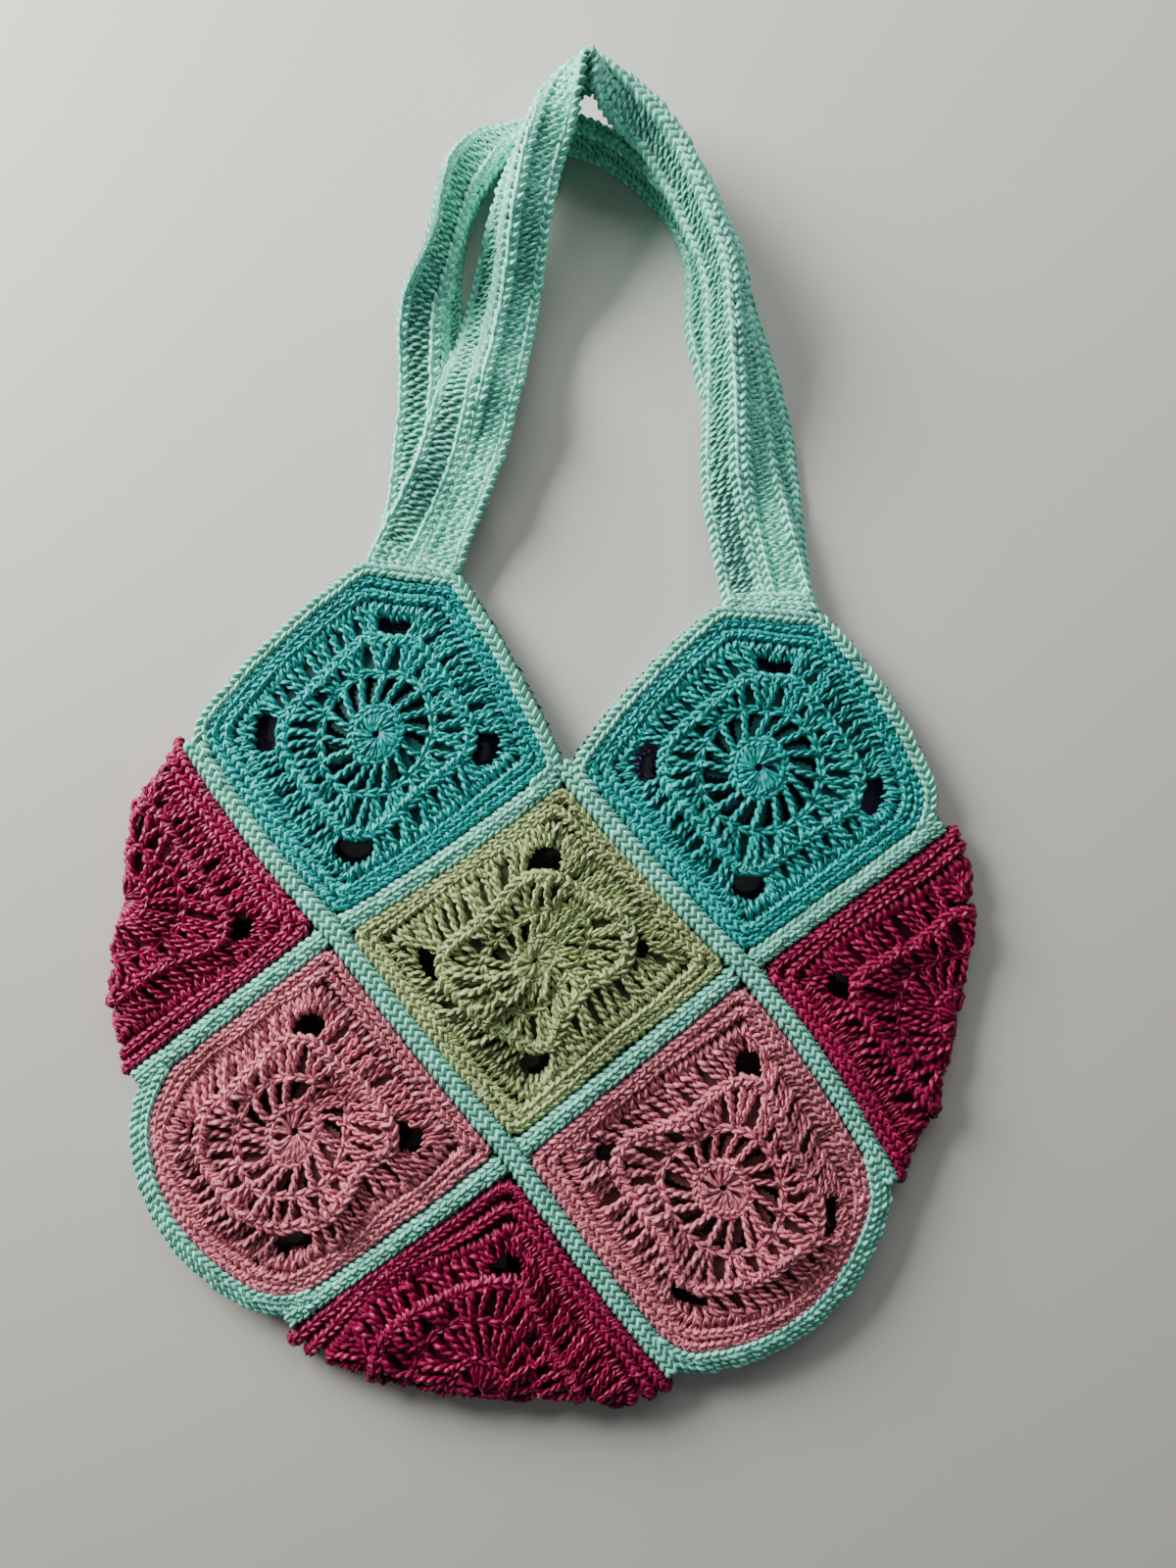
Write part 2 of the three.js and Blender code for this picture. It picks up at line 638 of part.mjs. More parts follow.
// A square folded round the bag's edge: one section for each row, front leg, arc and back leg.
function foldedGeometry(folded) {
  const [first, inner, last] = [...folded.corners];
  const ends = [corner(first), corner(last)];
  const middle = corner(inner);
  const outward = unit(minus(mix(ends[0], ends[1], 0.5), middle));
  const clear = SEAM_WIDTH / 2 + PIECE_GAP;
  const arms = ends.map((end) => unit(minus(end, middle)));
  const shortened = clear / Math.tan(Math.acos(dot(arms[0], arms[1])) / 2);
  const legs = [[first, inner], [inner, last]].map(([from, to], leg) => {
    const seam = bowedSide(corner(from), corner(to), bow(from, to));
    const left = leftOf(unit(minus(corner(to), corner(from))));
    const side = dot(left, outward) > 0 ? clear : -clear;
    const cut = shortened / away(corner(from), corner(to));
    return (share) => add(seam(leg === 0 ? share * (1 - cut) : cut + share * (1 - cut)), left, side);
  });
  const secondBow = bowedSide(middle, ends[1], bow(inner, last));
  const secondCut = shortened / away(middle, ends[1]);
  const bowAtCorner = minus(secondBow(secondCut), mix(middle, ends[1], secondCut));
  const across = leftOf(unit(minus(ends[1], ends[0])));
  const bulge = times(across, Math.sign(dot(across, outward)));
  const rows = folded.flipped ? [...FOLD_SECTIONS].reverse() : FOLD_SECTIONS;
  const stations = rows.map((row) => {
    const along = folded.flipped ? 1 - row.along : row.along;
    const fold = add(mix(ends[0], ends[1], along), bulge, row[folded.column] * HALF_DIAGONAL);
    if (along === 0.5) {
      return { fold, edge: add(legs[0](1), bowAtCorner) };
    }
    return { fold, edge: along < 0.5 ? legs[0](along * 2) : legs[1](along * 2 - 1) };
  });
  const body = new Body();
  const sections = stations.map(({ fold, edge }) => foldSection(body, fold, edge));
  body.loft(sections);
  capFold(body, sections[0], true);
  capFold(body, sections[sections.length - 1], false);
  return { geometry: body.geometry(), stations };
}

// One section, from the front edge over the fold to the back edge and back along the inside.
function foldSection(body, fold, edge) {
  const inward = unit(minus(edge, fold));
  const reach = away(edge, fold);
  const height = frontUnderside(fold) + WALL;
  const radius = height / 2;
  const round = Math.min(radius, reach * FOLD_ARC_LIMIT);
  const lines = [0, WALL].map((depth) => {
    const line = [];
    for (let step = 0; step < FOLD_LEG_STEPS; step += 1) {
      const plan = mix(edge, add(fold, inward, round), step / FOLD_LEG_STEPS);
      line.push({ plan, z: frontUnderside(plan) + WALL - depth });
    }
    for (let step = 0; step <= FOLD_ARC_STEPS; step += 1) {
      const angle = Math.PI * (0.5 - step / FOLD_ARC_STEPS);
      const out = round - (round - depth * Math.min(1, round / (2 * WALL))) * Math.cos(angle);
      line.push({ plan: add(fold, inward, out), z: radius + (radius - depth) * Math.sin(angle) });
    }
    for (let step = 1; step < FOLD_LEG_STEPS; step += 1) {
      line.push({ plan: mix(add(fold, inward, round), edge, step / (FOLD_LEG_STEPS - 1)), z: depth });
    }
    return line;
  });
  const ring = [...lines[0], ...lines[1].reverse()];
  return ring.map(({ plan, z }) => body.point(plan, z));
}

function capFold(body, section, isFirst) {
  const count = section.length;
  for (let index = 0; index + 1 < count / 2; index += 1) {
    const [a, b] = [section[index], section[index + 1]];
    const [c, d] = [section[count - 2 - index], section[count - 1 - index]];
    if (isFirst) {
      body.quad(a, d, c, b);
    } else {
      body.quad(a, b, c, d);
    }
  }
}

function outwardFacing(geometry) {
  const position = geometry.getAttribute('position');
  const index = geometry.getIndex();
  const corners = [0, 1, 2].map(() => new THREE.Vector3());
  let volume = 0;
  for (let face = 0; face < index.count; face += 3) {
    corners.forEach((vector, slot) => vector.fromBufferAttribute(position, index.getX(face + slot)));
    volume += corners[0].dot(corners[1].clone().cross(corners[2])) / 6;
  }
  if (volume < 0) {
    const faces = [...index.array];
    for (let face = 0; face < faces.length; face += 3) {
      [faces[face + 1], faces[face + 2]] = [faces[face + 2], faces[face + 1]];
    }
    geometry.setIndex(faces);
  }
  return geometry;
}

const wasm = await Module();
wasm.setup();

function toManifold(geometry) {
  const bare = geometry.clone();
  bare.deleteAttribute('normal');
  bare.deleteAttribute('uv');
  const merged = mergeVertices(bare);
  const mesh = new wasm.Mesh({
    numProp: 3,
    vertProperties: new Float32Array(merged.getAttribute('position').array),
    triVerts: new Uint32Array(merged.getIndex().array),
  });
  return new wasm.Manifold(mesh);
}

function fromManifold(solid) {
  const mesh = solid.getMesh();
  const geometry = new THREE.BufferGeometry();
  geometry.setAttribute('position', new THREE.Float32BufferAttribute(mesh.vertProperties, 3));
  geometry.setIndex([...mesh.triVerts]);
  return geometry;
}

// An oval prism along its own Y, turned so that it points along a plan direction or straight up.
function ovalCutter(plan, z, inward, width, depth, length) {
  const cutter = new THREE.CylinderGeometry(0.5, 0.5, 1, HOLE_SIDES);
  cutter.scale(width, length, depth);
  const matrix = new THREE.Matrix4();
  const along = new THREE.Vector3(inward.x, inward.y, 0);
  const side = new THREE.Vector3(-inward.y, inward.x, 0);
  const up = new THREE.Vector3(0, 0, 1);
  if (z === null) {
    matrix.makeBasis(side, up, along);
  } else {
    matrix.makeBasis(side, along, up.negate());
  }
  cutter.applyMatrix4(matrix);
  cutter.translate(plan.x, plan.y, z ?? 0);
  return toManifold(cutter);
}

// The corner holes of a folded square: one through each leg, and two that notch the fold.
function pierceFold(geometry, stations) {
  const middle = stations[Math.floor(stations.length / 2)];
  const inward = unit(minus(middle.edge, middle.fold));
  const holeWidth = FOLD_HOLE.wide * HALF_DIAGONAL;
  const holeDepth = FOLD_HOLE.deep * HALF_DIAGONAL;
  const throughBothLayers = 4 * (WALL + EDGE_SPACE + BELLY_SPACE);
  const place = mix(middle.fold, middle.edge, FOLD_HOLE.place);
  let solid = toManifold(geometry);
  solid = solid.subtract(ovalCutter(place, null, inward, holeWidth, holeDepth, throughBothLayers));
  for (const share of NOTCH_PLACES) {
    const near = stations.reduce((best, station, index) => {
      const off = Math.abs(index / (stations.length - 1) - share);
      return off < best.off ? { off, station } : best;
    }, { off: Infinity }).station;
    const way = unit(minus(near.edge, near.fold));
    const height = frontUnderside(near.fold) + WALL;
    const [wide, high] = [holeWidth * NOTCH.wide, height * NOTCH.high];
    solid = solid.subtract(ovalCutter(near.fold, height / 2, way, wide, high, holeDepth));
  }
  return fromManifold(solid);
}

function addFolded(group) {
  for (const folded of FOLDED) {
    const { geometry, stations } = foldedGeometry(folded);
    addMesh(group, `${folded.name}_square`, pierceFold(outwardFacing(geometry), stations), MAGENTA);
  }
}

// The middle of the straight corner that a strap sits on.
function strapSeat(squareName) {
  const square = squareNamed(squareName);
  const index = [...square.corners].findIndex((name) => LATTICE[name].strap);
  const patch = squarePatch(square, [0, 0, 0, 0]);
  const share = patch.cuts[index].share;
  const ends = [onSide(patch, index, -1 + share, 1), onSide(patch, index, -1, 1 - share)];
  const way = unit(minus(ends[0], ends[1]));
  const up = leftOf(times(way, Math.sign(way.x)));
  return { plan: add(mix(ends[0], ends[1], 0.5), up, 2 * PIECE_GAP), up };
}

// Reads a strap table at a share of its way, smoothly between its rows.
function strapRow(rows, share) {
  const scaled = share * (rows.length - 1);
  const index = Math.min(rows.length - 2, Math.floor(scaled));
  const part = scaled - index;
  const pick = (offset) => rows[THREE.MathUtils.clamp(index + offset, 0, rows.length - 1)];
  const blend = (key) => {
    const [a, b, c, d] = [pick(-1)[key], pick(0)[key], pick(1)[key], pick(2)[key]];
    const [leave, arrive] = [(c - a) / 2, (d - b) / 2];
    const square = part * part;
    const cube = square * part;
    return b * (2 * cube - 3 * square + 1) + leave * (cube - 2 * square + part)
      + c * (3 * square - 2 * cube) + arrive * (cube - square);
  };
  return { across: blend('across'), up: blend('up'), roll: blend('roll'), roof: blend('roof') };
}

// A strap widens to its ends over this share of its reach.
const STRAP_END_SHARE = 0.12;

// The strap's upper face across its width: how far out from the rib, as a share of the half width.
const STRAP_COLUMNS = [1, 0.55, 0, -0.55, -1];

function strapSection(row, halfWidth) {
  const roof = radians(row.roof);
  const roll = radians(row.roll);
  const rib = STRAP_COLUMNS.map((share) => {
    const out = share * halfWidth;
    const flat = { x: out * Math.cos(roof), y: -Math.abs(out) * Math.sin(roof) };
    return {
      x: flat.x * Math.cos(roll) + flat.y * Math.sin(roll),
      y: flat.y * Math.cos(roll) - flat.x * Math.sin(roll),
    };
  });
  const lower = rib.map((point, index) => {
    const before = rib[Math.max(0, index - 1)];
    const after = rib[Math.min(rib.length - 1, index + 1)];
    const normal = leftOf(unit(minus(after, before)));
    return add(point, normal, STRAP_THICKNESS);
  });
  return [...rib, ...lower.reverse()];
}

function strapStations(rows) {
  const seats = [strapSeat('peak_left'), strapSeat('peak_right')];
  const base = minus(seats[1].plan, seats[0].plan);
  const up = leftOf(unit(base));
  const stations = [];
  for (let step = 0; step <= STRAP_STEPS; step += 1) {
    const row = strapRow(rows, step / STRAP_STEPS);
    const plan = add(add(seats[0].plan, base, row.across), up, row.up * STRAP_REACH);
    const nearEnd = Math.max(0, 1 - row.up / STRAP_END_SHARE);
    const width = STRAP_WIDTH + (STRAP_END_WIDTH - STRAP_WIDTH) * nearEnd;
    stations.push({ plan, section: strapSection(row, width / 2) });
  }
  stations.forEach((station, index) => {
    const before = stations[Math.max(0, index - 1)].plan;
    const after = stations[Math.min(stations.length - 1, index + 1)].plan;
    station.outward = leftOf(unit(minus(after, before)));
  });
  stations[0].outward = leftOf(seats[0].up);
  stations[stations.length - 1].outward = leftOf(times(seats[1].up, -1));
  return stations;
}

// Stands each section on its height and gives its points in space.
function raiseStrap(stations, heightAt) {
  return stations.map((station, index) => {
    const lowest = Math.min(...station.section.map((point) => point.y));
    const lift = heightAt(station, index) - lowest;
    return station.section.map((point) => {
      const plan = add(station.plan, station.outward, point.x);
      return { plan, z: point.y + lift };
    });
  });
}

// The front strap clears the back one where they cross, and comes down no steeper than its climb.
function frontStrapHeights(stations, below) {
  const needs = stations.map((station) => {
    const wide = Math.max(...station.section.map((point) => Math.abs(point.x)));
    const under = below.flat().filter(({ plan }) => away(plan, station.plan) < wide + CROSSING_MARGIN);
    return Math.max(0, ...under.map(({ z }) => z + 2 * PIECE_GAP));
  });
  for (const end of [0, stations.length - 1]) {
    needs[end] = Math.max(needs[end], frontUnderside(stations[end].plan));
  }
  return (station) => Math.max(...needs.map((need, index) => {
    const far = away(stations[index].plan, station.plan);
    return need - STRAP_CLIMB * far;
  }));
}

function addStraps(group) {
  const back = raiseStrap(strapStations(BACK_STRAP), () => 0);
  const frontStations = strapStations(FRONT_STRAP);
  const front = raiseStrap(frontStations, frontStrapHeights(frontStations, back));
  addMesh(group, 'back_strap', stripBody(back), MINT);
  addMesh(group, 'front_strap', stripBody(front), MINT);
}

const bag = new THREE.Group();
addSquares(bag);
addFolded(bag);
addSeams(bag);
addBorders(bag);
addStraps(bag);

export default bag;
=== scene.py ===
import math
from collections import namedtuple

import bpy
import numpy as np
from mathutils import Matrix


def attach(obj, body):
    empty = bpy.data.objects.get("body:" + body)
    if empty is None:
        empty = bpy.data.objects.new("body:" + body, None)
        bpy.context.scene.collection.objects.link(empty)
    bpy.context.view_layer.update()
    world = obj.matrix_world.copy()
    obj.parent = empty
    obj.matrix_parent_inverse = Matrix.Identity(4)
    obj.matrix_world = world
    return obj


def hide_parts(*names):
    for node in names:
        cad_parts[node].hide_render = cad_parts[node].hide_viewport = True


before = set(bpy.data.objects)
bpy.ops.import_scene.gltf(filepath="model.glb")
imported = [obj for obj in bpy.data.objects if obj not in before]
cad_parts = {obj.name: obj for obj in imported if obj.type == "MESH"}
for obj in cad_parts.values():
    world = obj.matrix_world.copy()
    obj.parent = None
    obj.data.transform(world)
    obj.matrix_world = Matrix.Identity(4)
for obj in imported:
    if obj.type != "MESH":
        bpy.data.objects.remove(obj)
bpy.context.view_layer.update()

# The look of a crochet bag of granny squares that lies on its back. Every stitch is a strand or a rope of
# yarn. Lengths are millimetres, and MM turns them into metres where a mesh is made.
MM = 0.001
TURN = 2 * np.pi

# Driving dimensions, as in the solid model
HALF_DIAGONAL = 99.0
WALL = 3.6
PIECE_GAP = 0.3
SEAM_WIDTH = 11.0
SEAM_THICKNESS = 4.4
RIM_WIDTH = 5.5
SIDE_SEAM_WIDTH = 10.5
EDGE_SPACE = 5.0
BELLY_SPACE = 8.0
STRAP_WIDTH = 39.0
STRAP_THICKNESS = 3.4
STRAP_END_WIDTH = 44.0
STRAP_REACH = 250.0
STRAP_CLIMB = 0.32
CROSSING_MARGIN = 5.0

# Where the squares meet, as shares of the half diagonal: place, the outline's corner radius and that of
# the coloured part of a square.
LATTICE = {
    "A": (-1.92, 0.9, 0.02, 0.1),
    "B": (-0.85, 2.11, 0, 0.04),
    "C": (0.02, 0.945, 0.02, 0.04),
    "D": (0.925, 2.1, 0, 0.04),
    "E": (1.98, 0.94, 0.14, 0.16),
    "F": (-1.04, 0, 0.02, 0.04),
    "H": (1.03, 0.07, 0.02, 0.04),
    "I": (-0.01, -1.01, 0.02, 0.04),
    "J": (-1.98, -0.92, 0.02, 0.2),
    "K": (1.935, -0.98, 0.02, 0.12),
    "L": (-1.09, -2.03, 0.02, 0.16),
    "M": (0.985, -2.05, 0.02, 0.1),
}
STRAP_CORNERS = "BD"
MOUTH_CORNER = "C"

# How far each side bows to the left of its way, as a share of the half diagonal
BOWS = {
    "AB": 0.07, "BC": 0.035, "CD": 0.06, "DE": 0.11,
    "AF": -0.03, "FI": -0.01, "IM": -0.02, "CH": -0.02, "HK": 0.04,
    "CF": 0.03, "FJ": 0, "HE": 0, "HI": 0, "IL": 0.01,
    "JL": -0.26, "KM": 0.255,
}

# A square has its corners counter-clockwise, the kind of each side, the colours of the front one and of the
# back one, how far the front pattern is swirled in degrees, how much its stitches wander in millimetres, the
# share of the gaps between its bars that are drawn shut, the sizes of its corner holes and its dents. A dent
# has its place and width in the pattern, and then how far it pushes the stitches both ways and lifts them.
Plan = namedtuple("Plan", "corners sides front back swirl wander closed holes dents")
SQUARES = {
    "peak_left": Plan(
        "AFCB", ("seam", "seam", "rim", "rim"), "teal", "purple", 4, 0.9, 0, (1, 0.95, 1, 1), ()),
    "peak_right": Plan(
        "CHED", ("seam", "seam", "rim", "rim"), "teal", "purple", -3, 0.9, 0.1, (1, 0.9, 1, 1), ()),
    "middle": Plan(
        "FIHC", ("seam", "seam", "seam", "seam"), "green", "green", 16, 2.2, 0.75, (0.4, 0.7, 0.7, 0.8),
        ((0.55, 0, 0.32, -9, 0, 3.5), (-0.2, -0.5, 0.2, 0, 3, 2.5), (-0.55, 0.1, 0.2, 2, -2, 2.5))),
    "lower_left": Plan(
        "JLIF", ("side", "seam", "seam", "seam"), "pink", "pink", 12, 2.0, 0.45, (0.7, 0.8, 0.4, 0.9),
        ((0.5, -0.35, 0.25, -3, 3, 3.5), (0.35, 0.5, 0.25, -4, -2, 3), (-0.5, 0.3, 0.2, 3, 0, 2))),
    "lower_right": Plan(
        "IMKH", ("seam", "side", "seam", "seam"), "pink", "pink", -14, 1.6, 0.25, (0.8, 0.7, 0.5, 0.8),
        ((0.1, -0.6, 0.25, 0, 4, 3.5), (0.6, 0.2, 0.2, -4, 0, 3), (-0.55, 0, 0.2, 3, 2, 2.5))),
}
SIDE_DEPTHS = {"seam": SEAM_WIDTH / 2, "rim": RIM_WIDTH, "side": SIDE_SEAM_WIDTH}

# The back's stitches hardly wander. Its corner holes are smaller, so its yarn shows through the front ones.
BACK_WANDER = 0.3
BACK_HOLES = (0.5, 0.5, 0.6, 0.8)

# Seams between squares. A seam that stops on another one names two corners of that other seam.
SEAMS = {
    "long_left": ("AFIM", None, None),
    "long_right": ("CHK", None, None),
    "peak_left": ("CF", "CH", "AI"),
    "peak_right": ("HE", "CK", None),
    "middle_lower": ("HI", "CK", "FM"),
    "side_left": ("FJ", "AI", None),
    "bottom_left": ("IL", "FM", None),
}

# Bordered free sides, as the square and the number of its side
RIMS = {
    "peak_left_inner": ("peak_left", 2),
    "peak_left_outer": ("peak_left", 3),
    "peak_right_outer": ("peak_right", 2),
    "peak_right_inner": ("peak_right", 3),
}
SIDE_SEAMS = {
    "side_seam_left": ("lower_left", 0),
    "side_seam_right": ("lower_right", 1),
}

# Folded squares: along is the share of the way from the first corner to the last, and the others say how far
# each fold bulges past the straight line there, as shares of the half diagonal
FOLDED = {"left": "AFJ", "right": "EHK", "bottom": "LIM"}
FOLD_ALONG = (0, 0.05, 0.15, 0.24, 0.32, 0.42, 0.5, 0.6, 0.68, 0.77, 0.85, 0.95, 1)
FOLD_BULGES = {
    "left": (0.03, 0.07, 0.155, 0.185, 0.215, 0.2, 0.2, 0.21, 0.2, 0.165, 0.15, 0.08, 0.03),
    "right": (0.03, 0.1, 0.18, 0.195, 0.24, 0.225, 0.22, 0.215, 0.19, 0.17, 0.1, 0.05, 0.02),
    "bottom": (0.06, 0.13, 0.18, 0.185, 0.23, 0.235, 0.235, 0.225, 0.21, 0.16, 0.185, 0.11, 0.06),
}
FOLD_ARC_LIMIT = 0.6
FOLD_TIP = 0.012
FOLD_HALF_STEPS = 12
FOLD_GRID = 65
FOLDED_SWIRL = 6
FOLDED_WANDER = 2.0

# The corner holes at the two ends of a fold are nearly shut, and its corners are hardly cut.
FOLDED_HOLES = (0.1, 0.7, 0.1, 0.7)
FOLDED_CUT = 0.06

# The belly of the front, and its wrinkles as place, width and height in shares of the half diagonal
BELLY = (0, -0.25, 2.2)
WRINKLE_FALL = 1.5
WRINKLES = (
    (0.22, -0.3, 0.22, 0.032),
    (0, 0.42, 0.26, 0.026),
    (-0.35, -0.12, 0.2, 0.018),
    (0.42, 0.2, 0.2, 0.02),
    (-1.1, -0.75, 0.25, 0.03),
    (-0.85, -1.3, 0.25, 0.024),
    (1.2, -0.72, 0.24, 0.03),
    (1.35, -1.3, 0.22, 0.026),
    (-0.95, 1.05, 0.3, 0.016),
    (1, 1.05, 0.3, 0.016),
)

# Strap sections from the left peak to the right one: across, up, roll and roof
FRONT_STRAP = (
    (0, 0, 0, 0), (0.045, 0.094, 0, -12), (0.095, 0.209, 0, -14), (0.137, 0.372, 4, 16),
    (0.162, 0.543, 10, 28), (0.182, 0.753, 22, 38), (0.203, 0.852, 36, 38), (0.248, 0.935, 62, 24),
    (0.338, 0.998, 88, 12), (0.43, 0.965, 55, 34), (0.525, 0.915, 22, 50), (0.6, 0.855, 12, 54),
    (0.663, 0.785, 8, 54), (0.714, 0.72, 6, 54), (0.766, 0.645, 4, 54), (0.797, 0.555, 4, 52),
    (0.839, 0.41, 2, 38), (0.873, 0.265, 0, 20), (0.93, 0.139, 0, -8), (1, 0, 0, 0),
)
BACK_STRAP = (
    (0, 0, 0, 0), (0.015, 0.08, 0, 4), (0.02, 0.246, -6, 12), (0.022, 0.368, -16, 20),
    (0.01, 0.488, -38, 20), (0.02, 0.549, -60, 16), (0.028, 0.617, -76, 12), (0.052, 0.712, -74, 20),
    (0.108, 0.8, -52, 46), (0.19, 0.872, -22, 60), (0.304, 0.91, -4, 64), (0.427, 0.885, -4, 64),
    (0.53, 0.836, -6, 66), (0.642, 0.76, -8, 64), (0.718, 0.68, -8, 50), (0.76, 0.6, -4, 30),
    (0.805, 0.52, 0, 18), (0.875, 0.4, 0, 10), (0.925, 0.27, 0, 6), (0.965, 0.14, 0, 2), (1, 0, 0, 0),
)
STRAP_STEPS = 32
STRAP_END_SHARE = 0.12
STRAP_COLUMNS = (1, 0.55, 0, -0.55, -1)
STRAP_FINE_STEPS = 8 * STRAP_STEPS + 1
STRAP_FINE_COLUMNS = 17

# Yarn: the strands have few sides, and those that are mostly hidden or twisted have even fewer
YARN_RADIUS = 1.25
STITCH_PITCH = 4.2
STRAND_SIDES = 4
HIDDEN_SIDES = 3
THICKNESS_SPREAD = 0.06
TONE_SPREAD = 0.11

# A rope is two strands: the length of one turn, and how far each strand is from the middle and how thick it
# is, as shares of the rope's radius
ROPE_RADIUS = 2.25
ROPE_TURN = 10.0
ROPE_OFFSET = 0.5
ROPE_STRAND = 0.58
ROPE_STEP = 1.6
ROPE_LEAST_STEPS = 6

# Below this height the yarn is pressed flat by the floor, and the back's stitches lie this much higher
FLOOR_KNEE = 1.2
BACK_LIFT = 1.3

# Each group of pieces has its own seeds for its random draws.
SEEDS = {"front": 11, "back": 31, "folded": 51, "seam": 71, "rim": 91, "side": 101, "strap": 111}

# One leg of a chain stitch: its share of the pitch and of the width, its height in strand radii, and how
# thick it is
CHAIN_LEG = np.array([
    (-0.2, 0.02, -0.95, 0.8),
    (0.15, 0.22, 0.15, 1.05),
    (0.5, 0.55, 0.6, 1.12),
    (0.85, 0.88, 0.25, 1.05),
    (1.12, 1.02, -0.8, 0.8),
])
CHAIN_WOBBLE = 0.25

# One strand of a short stitch: its share of the width, its height in strand radii, and how thick it is
SHORT_STRAND = np.array([
    (-0.68, -0.7, 0.78),
    (-0.2, 0.5, 1.02),
    (0.35, 0.55, 1.12),
    (0.7, -0.6, 0.78),
])
SHORT_OPENING = (0.21, 0.26)
SHORT_SLANT = 0.18
SHORT_SLANT_SPREAD = 0.14
SHORT_TILT = 0.25
SHORT_STRAY = {"along": 0.3, "out": 0.35, "height": 0.33}

# How a post rises and thickens from its foot to its head, in strand radii
POST_RISE = np.array([-0.7, 0.1, 0.35, 0.3, 0.4, -0.3])
POST_THICK = np.array([0.85, 1.0, 0.95, 0.95, 1.12, 0.8])
POST_SHARE = np.linspace(0, 1, len(POST_RISE))
POST_RELIEF = 0.7
SINGLE_SHARE = 0.9

# A row of stitches: its width, its yarn's radius, its height over the sheet, its pitch and its tone. A tone
# under 1 is painted shade, deepest on rows that lie low or under others, and a tone over 1 is painted light
Row = namedtuple("Row", "width radius high pitch tone", defaults=(STITCH_PITCH, 1.0))
EYE_CHAIN = Row(1.9, YARN_RADIUS, 0, tone=0.92)
BAR_CHAIN = Row(1.8, YARN_RADIUS * 0.95, -0.2, tone=0.97)
RIDGE_CHAIN = Row(2.6, YARN_RADIUS * 1.05, 0.6, 5.0)
RIDGE_FEET = Row(5.0, YARN_RADIUS * 1.1, 0.3, 4.6, 0.97)
BORDER_FEET = Row(5.2, YARN_RADIUS * 1.1, 0.1, 4.1, 0.92)
BORDER_CHAIN = Row(1.9, YARN_RADIUS * 0.95, 1.0, 4.3)
RIM_CHAIN = Row(RIM_WIDTH * 0.52, YARN_RADIUS * 1.1, 1.3)
# The feet of rims and side seams lie low under their chains, and their low tones are painted shade
RIM_FEET = Row(RIM_WIDTH * 0.8, YARN_RADIUS * 1.1, -0.6, tone=0.7)
SIDE_CHAIN = Row(SIDE_SEAM_WIDTH * 0.2, YARN_RADIUS * 1.08, 1.0)
SIDE_FEET = Row(SIDE_SEAM_WIDTH * 0.36, YARN_RADIUS, -0.8, tone=0.65)
SIDE_WALL = Row(3.6, YARN_RADIUS, 0.0, tone=0.95)

# The braid of a seam: how far each of its two chains is from the middle, and how it falls to its sides
BRAID_REACH = SEAM_WIDTH * 0.82 / 4
BRAID_CHAIN = Row(BRAID_REACH * 0.95, YARN_RADIUS * 1.04, 1.6, tone=0.98)
# The feet are drawn at half tone, as painted shade in the gaps beside the seam's chains
BRAID_FEET = Row(BRAID_REACH * 1.6, YARN_RADIUS, -0.8, tone=0.5)
BRAID_FEET_REACH = 1.5
BRAID_FALL = 0.07

# Where seams end: how near they come to the middle of the seam that they stop on, as a share of the width,
# and how far they stay from a corner of the bag or reach past the corner at its mouth
SEAM_STEPS = 25
SEAM_LOOK = 8
SEAM_REACH = 0.3
SEAM_TRIM = 5.0
MOUTH_REACH = 3.5

# How far a border runs round the corners of its square, in degrees from the middle of its side, and how far
# the rows of a rim are to the left of its middle
BORDER_ANGLE = 52
BORDER_STEPS = 81
RIM_CHAIN_LEFT = 0.2
RIM_FEET_LEFT = -0.9

# The rows of a side seam, as their way outward and their drop, and those of its wall, as shares of its height
SIDE_ROWS = ((8.2, 1.8), (5.3, 0.3), (2.1, -0.4))
SIDE_WALL_SHARE = 0.88
SIDE_WALLS = (0.15, 0.42, 0.7)

# The chains of a strap with their places over its width, the rungs between them, from foot to head, and how
# far the bands across its ends are from them
# The straps' mint is drawn lighter than that of the seams by this factor, as painted light where the straps
# catch more light and let it through; the chains that lie under the strap are darker, as painted shade
STRAP_PAINTED_LIGHT = 1.15
STRAP_EDGE = Row(2.1, YARN_RADIUS * 1.25, 0.4, tone=1.05 * STRAP_PAINTED_LIGHT)
STRAP_UNDER = Row(2.0, YARN_RADIUS, -0.9, tone=0.85 * STRAP_PAINTED_LIGHT)
STRAP_RIB = Row(2.3, YARN_RADIUS * 1.25, 1.1, tone=1.06 * STRAP_PAINTED_LIGHT)
STRAP_BAND = Row(2.0, YARN_RADIUS * 1.1, 1.4, tone=STRAP_PAINTED_LIGHT)
STRAP_CHAINS = (
    (0.045, STRAP_EDGE), (0.955, STRAP_EDGE), (0.045, STRAP_UNDER), (0.955, STRAP_UNDER),
    (0.44, STRAP_RIB), (0.56, STRAP_RIB),
)
STRAP_RUNGS = ((0.4, 0.08), (0.6, 0.92))
STRAP_RUNG_PITCH = 3.1
STRAP_RUNG_LEAN = 0.6
STRAP_RUNG_RELIEF = 0.9
STRAP_RUNG_HIGH = 0.3
STRAP_RUNG_STRAY = {"lean": 0.12, "height": 0.15}
STRAP_BANDS = (1.5, 5.5)
STRAP_BAND_STEPS = 60
STRAP_BAND_ENDS = (0.02, 0.98)
STRAP_EDGES = (0.06, 0.94)
STRAP_PATH_STEPS = 400
STRAP_GROUND_COLUMNS = 9

# The pattern of a square: 32 posts stand round its eye, then come 16 bars with gaps between them, posts in
# threes up to the ridge, the posts of the four sides, the fans round the corner holes, and three rows
HALF_SIDE = 62.0
BARS = 16
EYE_POSTS = 2 * BARS
GROUP = 3
SIDE_COUNT = 15
FAN_COUNT = 10

